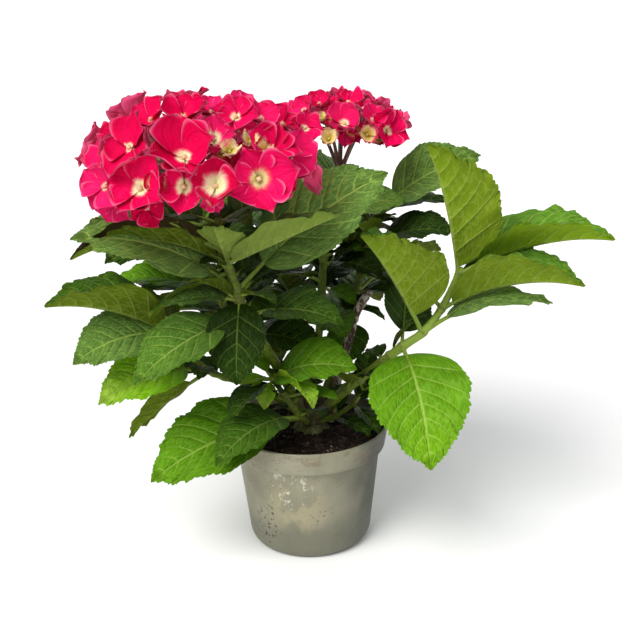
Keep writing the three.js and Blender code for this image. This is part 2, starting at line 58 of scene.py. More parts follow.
def surface(name, points, quads, tris=(), finishes=(), finish_of=None, marks=None, flat=None):
    """Puts a surface into the scene as one object. Points are millimetres, quads and tris are
    corner numbers that face outwards, `finish_of` is the material number of each face, quads
    first, `marks` are named values at the points that the materials read, and `flat` is the
    place of every face corner on the piece's own flat map. An edge between two materials is
    the rim of a thin shell, and is kept crisp."""
    quads = np.asarray(quads, np.int32).reshape(-1, 4)
    tris = np.asarray(tris, np.int32).reshape(-1, 3)
    corners = np.concatenate([quads.ravel(), tris.ravel()])
    starts = np.concatenate([np.arange(len(quads)) * 4, 4 * len(quads) + np.arange(len(tris)) * 3])
    mesh = bpy.data.meshes.new(name)
    mesh.vertices.add(len(points))
    mesh.vertices.foreach_set("co", (np.asarray(points) * 0.001).astype(np.float32).ravel())
    mesh.loops.add(len(corners))
    mesh.loops.foreach_set("vertex_index", corners)
    mesh.polygons.add(len(starts))
    mesh.polygons.foreach_set("loop_start", starts.astype(np.int32))
    for finish in finishes:
        mesh.materials.append(finish)
    if finish_of is not None:
        mesh.polygons.foreach_set("material_index", np.asarray(finish_of, np.int32))
    mesh.polygons.foreach_set("use_smooth", np.ones(len(starts), bool))
    mesh.update(calc_edges=True)
    if finish_of is not None:
        edge_of = np.empty(len(corners), np.int32)
        mesh.loops.foreach_get("edge_index", edge_of)
        side = np.repeat(finish_of, np.diff(np.append(starts, len(corners))))
        least, most = np.full(len(mesh.edges), 99), np.zeros(len(mesh.edges), int)
        np.minimum.at(least, edge_of, side)
        np.maximum.at(most, edge_of, side)
        mesh.attributes.new("sharp_edge", "BOOLEAN", "EDGE").data.foreach_set("value", least != most)
    for key, values in (marks or {}).items():
        mark = mesh.attributes.new(key, "FLOAT_VECTOR", "POINT")
        mark.data.foreach_set("vector", np.asarray(values, np.float32).ravel())
    if flat is not None:
        layer = mesh.uv_layers.new(name="OFBake")
        layer.data.foreach_set("uv", np.asarray(flat, np.float32).ravel())
    mesh.validate()
    made = bpy.data.objects.new(name, mesh)
    bpy.context.scene.collection.objects.link(made)
    return made


def stands_for(made, slot, *nodes):
    """The piece rides on the plant's one body and hides those nodes; `slot` is not used."""
    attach(made, "root")
    if nodes:
        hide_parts(*nodes)


def grid_quads(rows, columns, first=0, closed=False):
    """Quads of a grid of rows x columns points, numbered row by row; `closed` joins the last
    column to the first. A quad runs (row, column), next column, next row, back."""
    across = columns if closed else columns - 1
    r, c = np.meshgrid(np.arange(rows - 1), np.arange(across), indexing="ij")
    after = (c + 1) % columns
    here, there = first + r * columns, first + (r + 1) * columns
    return np.stack([here + c, here + after, there + after, there + c], -1).reshape(-1, 4)


def joined(parts):
    """One surface from several parts, each a dict of points, quads, tris and marks: corner
    numbers move on by the points that come before them."""
    first, quads, tris = 0, [], []
    for part in parts:
        quads.append(part["quads"] + first)
        tris.append(part["tris"] + first)
        first += len(part["points"])
    marks = {key: np.concatenate([part["marks"][key] for part in parts]) for key in parts[0]["marks"]}
    points = np.concatenate([part["points"] for part in parts])
    return points, np.concatenate(quads), np.concatenate(tris), marks


def ripple(points, scale, seed, waves=9):
    """Soft seeded relief from about -1 to 1: the sum of a few sine waves about `scale`
    millimetres long, each along a direction of its own, divided by the root of their number."""
    rng = np.random.default_rng(seed)
    runs = rng.normal(size=(waves, 3))
    runs /= np.linalg.norm(runs, axis=1, keepdims=True)
    runs *= (2 * np.pi / scale) * rng.uniform(0.6, 1.7, (waves, 1))
    return np.sin(np.asarray(points) @ runs.T + rng.uniform(0, 6.28, waves)).sum(-1) / math.sqrt(waves)


def node(tree, kind, inputs=None, **settings):
    """A shader node with its settings; an input given as a socket is linked, else it is set."""
    made = tree.nodes.new(kind)
    for key, value in settings.items():
        setattr(made, key, value)
    for key, value in (inputs or {}).items():
        if isinstance(value, bpy.types.NodeSocket):
            tree.links.new(value, made.inputs[key])
        else:
            made.inputs[key].default_value = value
    return made


def sums(tree, operation, first, second=0.0, third=0.0, held=False):
    """Output of a Math node, `held` between 0 and 1 if asked."""
    values = {0: first, 1: second, 2: third}
    return node(tree, "ShaderNodeMath", values, operation=operation, use_clamp=held).outputs[0]


def times(tree, first, second):
    """Product of two values."""
    return sums(tree, "MULTIPLY", first, second)


def own_place(tree):
    """Place on the piece itself, in metres."""
    return node(tree, "ShaderNodeTexCoord").outputs["Object"]


def mark_of(tree, key):
    """The three values of a mark that a piece's points carry."""
    carried = node(tree, "ShaderNodeAttribute", attribute_name=key)
    return node(tree, "ShaderNodeSeparateXYZ", {0: carried.outputs["Vector"]}).outputs


def mixed(tree, share, under, over):
    """Colour `over` laid on colour `under` by `share`."""
    made = node(tree, "ShaderNodeMix", data_type="RGBA")
    for key, value in ((0, share), (6, under), (7, over)):
        if isinstance(value, bpy.types.NodeSocket):
            tree.links.new(value, made.inputs[key])
        else:
            made.inputs[key].default_value = value if key == 0 else (*value, 1.0)
    return made.outputs[2]


def washed(tree, colour, mask, strength, over):
    """Colour `over` laid on `colour` where the mask is, at most by `strength`."""
    return mixed(tree, times(tree, mask, strength), colour, over)


def shades(tree, value, stops):
    """Colour ramp through (place, colour) stops."""
    made = node(tree, "ShaderNodeValToRGB", {0: value})
    for _ in range(len(stops) - 2):
        made.color_ramp.elements.new(0.5)
    for element, (place, colour) in zip(made.color_ramp.elements, stops):
        element.position = place
        element.color = (*colour, 1.0)
    return made.outputs[0]


def stepped(tree, value, low, high):
    """0 below `low`, 1 above `high`, smooth between."""
    made = node(tree, "ShaderNodeMapRange", {0: value, 1: low, 2: high}, interpolation_type="SMOOTHSTEP")
    return made.outputs[0]


def mottle(tree, place, scale, detail=3.0, rough=0.55, stretch=None):
    """Noise value, stretched by scaling its coordinates."""
    if stretch:
        place = node(tree, "ShaderNodeVectorMath", {0: place, 1: stretch}, operation="MULTIPLY").outputs[0]
    return node(tree, "ShaderNodeTexNoise", {
        "Vector": place, "Scale": scale, "Detail": detail, "Roughness": rough,
    }).outputs[0]


def new_finish(name, roughness, specular=0.5):
    """A material with only its Principled shader; returns it, its tree and that shader."""
    finish = bpy.data.materials.new(name)
    finish.use_nodes = True
    tree = finish.node_tree
    shader = tree.nodes["Principled BSDF"]
    shader.inputs["Roughness"].default_value = roughness
    shader.inputs["Specular IOR Level"].default_value = specular
    return finish, tree, shader


def relieved(tree, shader, height, distance):
    """Height in 0 to 1 pressed into the shader's normal, `distance` metres deep."""
    bump = node(tree, "ShaderNodeBump", {"Height": height, "Distance": distance, "Strength": 1.0})
    tree.links.new(bump.outputs[0], shader.inputs["Normal"])


def new_group(name, inputs, outputs):
    """An empty shader node group with named sockets, each (name, socket type, default)."""
    group = bpy.data.node_groups.new(name, "ShaderNodeTree")
    for key, kind, default in inputs:
        made = group.interface.new_socket(name=key, in_out="INPUT", socket_type=kind)
        if default is not None:
            made.default_value = default
    for key, kind in outputs:
        group.interface.new_socket(name=key, in_out="OUTPUT", socket_type=kind)
    return group, node(group, "NodeGroupInput"), node(group, "NodeGroupOutput")


def speck_group():
    """Specks: round dots of a Voronoi pattern, kept only where a broad noise is high, so that
    they come in drifts. Puts out their mask."""
    group, given, result = new_group(
        "Specks",
        [("Place", "NodeSocketVector", None), ("Scale", "NodeSocketFloat", 300.0),
         ("Size", "NodeSocketFloat", 0.25), ("Drift", "NodeSocketFloat", 0.5),
         ("Drift Scale", "NodeSocketFloat", 30.0)],
        [("Mask", "NodeSocketFloat")],
    )
    place, drift = given.outputs["Place"], given.outputs["Drift"]
    dots = node(group, "ShaderNodeTexVoronoi", {"Vector": place, "Scale": given.outputs["Scale"]})
    broad = mottle(group, place, given.outputs["Drift Scale"], 4.0, 0.6)
    here = stepped(group, broad, drift, sums(group, "ADD", drift, 0.12))
    chance = node(group, "ShaderNodeSeparateColor", {0: dots.outputs["Color"]}).outputs[0]
    size = times(group, given.outputs["Size"], times(group, here, chance))
    mask = sums(group, "LESS_THAN", dots.outputs["Distance"], size)
    group.links.new(mask, result.inputs["Mask"])
    return group


SPECKS = speck_group()


def specks(tree, place, scale, size, drift, drift_scale):
    """Mask of the specks with those values."""
    return node(tree, "ShaderNodeGroup", {
        "Place": place, "Scale": scale, "Size": size, "Drift": drift, "Drift Scale": drift_scale,
    }, node_tree=SPECKS).outputs["Mask"]


def pot_finish():
    """Beige-grey plastic, mottled, with runs of grime, dark specks, pale dried water and a
    scuffed rim, and painted shade: greyer and darker to the right and towards the foot, and
    darker inside its mouth."""
    finish, tree, shader = new_finish("pot_plastic", 0.42)
    place = own_place(tree)
    parts = node(tree, "ShaderNodeSeparateXYZ", {0: place})
    x, y, z = parts.outputs
    colour = shades(tree, mottle(tree, place, 22, 5.0, 0.6), [
        (0.3, (0.200, 0.186, 0.118)), (0.5, (0.262, 0.248, 0.165)), (0.72, (0.315, 0.298, 0.210)),
    ])
    wander = sums(tree, "MULTIPLY_ADD", mottle(tree, place, 35, 3.0), 0.03, -0.015)
    # painted shade: greyer, darker plastic towards the right, darkest along the right edge, and
    # darker towards the foot
    across = sums(tree, "ADD", x, wander)
    on_rim = stepped(tree, z, 0.079, 0.083)
    grey = stepped(tree, sums(tree, "MULTIPLY_ADD", on_rim, -0.013, across), 0.0, 0.058)
    colour = washed(tree, colour, grey, 0.88, (0.066, 0.070, 0.050))
    colour = mixed(tree, times(tree, stepped(tree, across, 0.034, 0.052), 0.6), colour, (0.018, 0.020, 0.013))
    low = stepped(tree, sums(tree, "ADD", z, wander), 0.042, 0.020)
    colour = washed(tree, colour, low, 0.64, (0.098, 0.102, 0.074))
    # long faint runs of grime, narrow across and long down
    runs = stepped(tree, mottle(tree, place, 60, 4.0, 0.65, (1, 1, 0.16)), 0.5, 0.72)
    colour = washed(tree, colour, runs, 0.2, (0.11, 0.105, 0.06))

    def near(px, pz, reach):
        """1 at that place of the front, fading to 0 at `reach`."""
        away = node(tree, "ShaderNodeVectorMath", {0: place, 1: (px, -0.054, pz)}, operation="DISTANCE")
        return stepped(tree, away.outputs["Value"], reach, 0.4 * reach)

    tan = stepped(tree, mottle(tree, place, 40, 3.0, 0.5), 0.42, 0.52)
    tan = times(tree, tan, near(-0.010, 0.050, 0.030))
    colour = washed(tree, colour, tan, 0.7, (0.36, 0.315, 0.19))
    pale = stepped(tree, mottle(tree, place, 110, 5.0, 0.72, (1.3, 1, 0.8)), 0.575, 0.62)
    pale = times(tree, pale, near(-0.016, 0.064, 0.026))
    colour = washed(tree, colour, pale, 0.85, (0.62, 0.60, 0.47))
    scuff = stepped(tree, mottle(tree, place, 75, 6.0, 0.72, (1, 1, 1.6)), 0.54, 0.62)
    scuff = times(tree, scuff, stepped(tree, z, 0.078, 0.084))
    colour = washed(tree, colour, scuff, 0.5, (0.17, 0.105, 0.05))
    splashed = sums(tree, "MAXIMUM", near(-0.030, 0.024, 0.036), times(tree, near(0.004, 0.048, 0.020), 0.6))
    dark = times(tree, specks(tree, place, 340.0, 0.5, 0.47, 45.0), splashed)
    fine = specks(tree, place, 850.0, 0.42, 0.5, 40.0)
    dirt = sums(tree, "MAXIMUM", dark, times(tree, fine, 0.6))
    colour = washed(tree, colour, dirt, 0.8, (0.060, 0.036, 0.020))
    # painted shade: darker on the pot's inside above the compost, where the rim shades the wall
    level = node(tree, "ShaderNodeCombineXYZ", {0: x, 1: y, 2: 0.0}).outputs[0]
    from_axis = node(tree, "ShaderNodeVectorMath", {0: level}, operation="LENGTH").outputs[1]
    inside = sums(tree, "LESS_THAN", from_axis, 0.0585)
    above = times(tree, inside, stepped(tree, z, 0.086, 0.09))
    colour = washed(tree, colour, above, 0.8, (0.07, 0.058, 0.042))
    tree.links.new(colour, shader.inputs["Base Color"])
    rough = sums(tree, "ADD", times(tree, pale, -0.14), sums(tree, "MULTIPLY_ADD", dirt, 0.35, 0.46))
    rough = sums(tree, "ADD", rough, times(tree, mottle(tree, place, 150), 0.1), held=True)
    tree.links.new(rough, shader.inputs["Roughness"])
    relieved(tree, shader, sums(tree, "ADD", mottle(tree, place, 260, 4.0), times(tree, dirt, 0.8)), 0.00025)
    return finish


def pot_profile():
    """Radius and height of the pot's outline, from the foot up the outside, over the lip and
    down the inside to the floor: arcs of circles at heel and lip, straight runs between."""
    turn = np.linspace(0, np.pi / 2, 9)
    heel = np.stack([
        FOOT_RADIUS + (HEEL_RADIUS - FOOT_RADIUS) * np.sin(turn), HEEL_HEIGHT * (1 - np.cos(turn)),
    ], 1)
    rise = np.linspace(0.1, 1, 9)[:, None]
    wall = heel[-1] + rise * (np.array([BODY_RADIUS - 0.3, BAND_FOOT - 2.2]) - heel[-1])
    band_low = np.array([BAND_RADIUS + 0.1, BAND_FOOT + 0.8])
    step = np.array([
        (BODY_RADIUS, BAND_FOOT - 0.9), (BODY_RADIUS + 0.8, BAND_FOOT - 0.35),
        (BAND_RADIUS - 0.9, BAND_FOOT - 0.2), (BAND_RADIUS - 0.2, BAND_FOOT + 0.1), band_low,
    ])
    band = band_low + np.linspace(0.1, 1, 7)[:, None] * ([RIM_RADIUS - 0.2, POT_HEIGHT - 1.6] - band_low)
    over = np.linspace(0, np.pi, 8)
    lip = np.array([RIM_RADIUS - 1.2, POT_HEIGHT - 1.1]) + 1.1 * np.stack([np.cos(over), np.sin(over)], 1)
    inner = np.array([
        (RIM_RADIUS - 2.4, POT_HEIGHT - 3), (BAND_RADIUS - POT_WALL, BAND_FOOT + 3),
        (BAND_RADIUS - POT_WALL - 0.8, BAND_FOOT + 1.5), (BODY_RADIUS - POT_WALL, BAND_FOOT - 2),
        (HEEL_RADIUS - POT_WALL, HEEL_HEIGHT), (FOOT_RADIUS - 0.5, POT_FLOOR),
    ])
    return np.concatenate([heel, wall, step, band, lip, inner])


def pot_surface():
    """The wall is the profile carried round the axis. Each sixth of the floor is a grid from a
    drain hole's circle out to the sector's edge, where the direction a meets a rectangle in
    radius and turn; the same places, upside up, make the floor's top, and short collars join
    the two."""
    profile = pot_profile()
    steps = 16
    spans = np.linspace(-np.pi / 4, np.pi / 4, steps + 1)
    sector = np.tan(spans)[:-1] * np.pi / DRAIN_HOLES
    turns = (np.arange(DRAIN_HOLES)[:, None] * 2 * np.pi / DRAIN_HOLES + np.pi / DRAIN_HOLES + sector).ravel()
    around = len(turns)
    wall = np.stack([
        profile[:, :1] * np.cos(turns), profile[:, :1] * np.sin(turns), profile[:, 1:] + 0 * turns,
    ], -1).reshape(-1, 3)
    quads, fans = [grid_quads(len(profile), around, 0, True)], []
    points, first = [wall], len(wall)
    for height, flip in ((0.0, True), (POT_FLOOR, False)):
        rim = FOOT_RADIUS if height == 0 else FOOT_RADIUS - 0.5
        for radii in ([rim, DRAIN_CIRCLE + DRAIN_REACH], [DRAIN_CIRCLE - DRAIN_REACH, 9.0, 0.6]):
            ring = np.array(radii)[:, None]
            level = [ring * np.cos(turns), ring * np.sin(turns), height + 0 * ring * turns]
            points.append(np.stack(level, -1).reshape(-1, 3))
            made = grid_quads(len(radii), around, first, True)
            quads.append(made if not flip else made[:, ::-1])
            first += len(radii) * around
        points.append(np.array([[0, 0, height]]))
        ends = np.arange(first - around, first)
        fan = np.stack([ends, np.roll(ends, -1), np.full(around, first)], 1)
        fans.append(fan[:, ::-1] if flip else fan)
        first += 1
        way = np.arange(4 * steps) * (np.pi / 2) / steps - np.pi / 4
        reach = 1 / np.maximum(abs(np.cos(way)), abs(np.sin(way)))
        share = np.array([0.0, 0.25, 0.6, 1.0])[:, None]
        for hole in range(DRAIN_HOLES):
            centre = hole * 2 * np.pi / DRAIN_HOLES + np.pi / DRAIN_HOLES
            radius = DRAIN_CIRCLE + DRAIN_REACH * reach * np.cos(way)
            turn = centre + np.pi / DRAIN_HOLES * reach * np.sin(way)
            edge = np.stack([radius * np.cos(turn), radius * np.sin(turn)], -1)
            spoke = np.array([np.cos(centre), np.sin(centre)])
            bar = np.array([-spoke[1], spoke[0]])
            round_hole = np.cos(way)[:, None] * spoke + np.sin(way)[:, None] * bar
            circle = spoke * DRAIN_CIRCLE + DRAIN_RADIUS * round_hole
            flat = circle + share[..., None] * (edge - circle)
            points.append(np.concatenate([flat.reshape(-1, 2), np.full((flat.size // 2, 1), height)], 1))
            made = grid_quads(4, 4 * steps, first, True)
            quads.append(made[:, ::-1] if not flip else made)
            if flip:
                collar = np.concatenate([circle, np.full((len(circle), 1), 0.0)], 1)
                points.append(np.concatenate([collar, collar + [0, 0, POT_FLOOR]]))
                quads.append(grid_quads(2, 4 * steps, first + 4 * 4 * steps, True)[:, ::-1])
                first += 2 * 4 * steps
            first += 4 * 4 * steps
    return np.concatenate(points), np.concatenate(quads), np.concatenate(fans)


pot = surface("nursery_pot", *pot_surface(), [pot_finish()])
stands_for(pot, "pot", "pot")


# The compost is dark moist peat, fibrous and crumbly, a little below the pot's rim, with bits
# of reddish bark, dead root fibres and a few pale grains lying loose on it.
SOIL_LEVEL, SOIL_RADIUS, SKIRT_DEPTH = 91.0, 61.2, 8.0
SOIL_RINGS, SOIL_SPOKES = 58, 150
CRUMBS, CRUMB_SEED = 900, 12


def compost_finish():
    """Near-black brown, mottled with red-brown fibres and a few pale grains."""
    finish, tree, shader = new_finish("moist_compost", 0.9, 0.25)
    place = own_place(tree)
    colour = shades(tree, mottle(tree, place, 190, 6.0, 0.7), [
        (0.34, (0.004, 0.0024, 0.0016)), (0.5, (0.015, 0.008, 0.005)),
        (0.62, (0.060, 0.028, 0.016)), (0.74, (0.17, 0.085, 0.05)),
    ])
    fibre = stepped(tree, mottle(tree, place, 320, 3.0, 0.6, (1, 0.25, 1)), 0.6, 0.7)
    colour = washed(tree, colour, fibre, 0.7, (0.15, 0.066, 0.034))
    colour = mixed(tree, specks(tree, place, 260.0, 0.34, 0.47, 35.0), colour, (0.30, 0.24, 0.18))
    tree.links.new(colour, shader.inputs["Base Color"])
    relieved(tree, shader, mottle(tree, place, 420, 6.0, 0.75), 0.002)
    return finish


def crumbs(count, rng):
    """Loose crumbs: eight-cornered lumps, each a cube's corners pushed out to a sphere, pulled
    long one way, turned and laid on the compost; every fourth is a thin fibre."""
    corner = np.array([(x, y, z) for x in (-1, 1) for y in (-1, 1) for z in (-1, 1)], float) / math.sqrt(3)
    quads = np.array([(0, 1, 3, 2), (4, 6, 7, 5), (0, 4, 5, 1), (2, 3, 7, 6), (0, 2, 6, 4), (1, 5, 7, 3)])
    form = np.where(np.arange(count)[:, None, None] % 4 == 0, [3.4, 0.32, 0.32], [1, 0.7, 0.5])
    size = rng.uniform(0.5, 1.9, (count, 1, 1)) * form * rng.uniform(0.7, 1.6, (count, 1, 3))
    lumps = corner * size * rng.uniform(0.75, 1.25, (count, 8, 1))
    turn = rng.uniform(0, 2 * np.pi, count)[:, None]
    reach = (SOIL_RADIUS - 4) * np.sqrt(rng.uniform(0, 1, count))[:, None]
    way = rng.uniform(0, 2 * np.pi, count)[:, None]
    x = lumps[..., 0] * np.cos(turn) - lumps[..., 1] * np.sin(turn) + reach * np.cos(way)
    y = lumps[..., 0] * np.sin(turn) + lumps[..., 1] * np.cos(turn) + reach * np.sin(way)
    z = lumps[..., 2] + SOIL_LEVEL + 0.6 + soil_relief(x, y)
    points = np.stack([x, y, z], -1).reshape(-1, 3)
    return {"points": points, "quads": (quads + 8 * np.arange(count)[:, None, None]).reshape(-1, 4),
            "tris": np.zeros((0, 3), int), "marks": {}}


def soil_relief(x, y):
    """Height of the compost's top over its level: broad humps, crumbs, and a rise to the stem."""
    places = np.stack([x, y, 0 * x], -1)
    lumps = 0.9 * ripple(places, 26, 3) + 0.55 * ripple(places, 7, 4, 14) + 0.35 * ripple(places, 3.2, 5, 18)
    return lumps - 0.6 + 2.2 * np.exp(-((x - 3) ** 2 + (y - 5) ** 2) / 300)


def compost_surface():
    """A disc on a polar grid lifted by the relief, with a skirt down the pot's wall and a flat
    underside far down in the pot, and loose crumbs over it."""
    radii = np.append(SOIL_RADIUS * np.linspace(0.015, 1, SOIL_RINGS), SOIL_RADIUS - 0.4)[:, None]
    turns = np.linspace(0, 2 * np.pi, SOIL_SPOKES, endpoint=False)
    x, y = radii * np.cos(turns), radii * np.sin(turns)
    z = SOIL_LEVEL + soil_relief(x, y) * np.clip((SOIL_RADIUS - radii) / 3, 0.15, 1)
    z[-1] = SOIL_LEVEL - SKIRT_DEPTH
    rows, columns = x.shape
    middles = [[0, 0, z[0].mean()], [0, 0, SOIL_LEVEL - SKIRT_DEPTH]]
    top, foot = np.arange(columns), np.arange((rows - 1) * columns, rows * columns)
    disc = {
        "points": np.concatenate([np.stack([x, y, z], -1).reshape(-1, 3), middles]),
        "quads": grid_quads(rows, columns, 0, True)[:, ::-1],
        "tris": np.concatenate([
            np.stack([np.full(columns, rows * columns), top, np.roll(top, -1)], 1),
            np.stack([np.roll(foot, -1), foot, np.full(columns, rows * columns + 1)], 1),
        ]),
        "marks": {},
    }
    return joined([disc, crumbs(CRUMBS, np.random.default_rng(CRUMB_SEED))])[:3]


compost = surface("compost", *compost_surface(), [compost_finish()])
stands_for(compost, "compost", "soil")


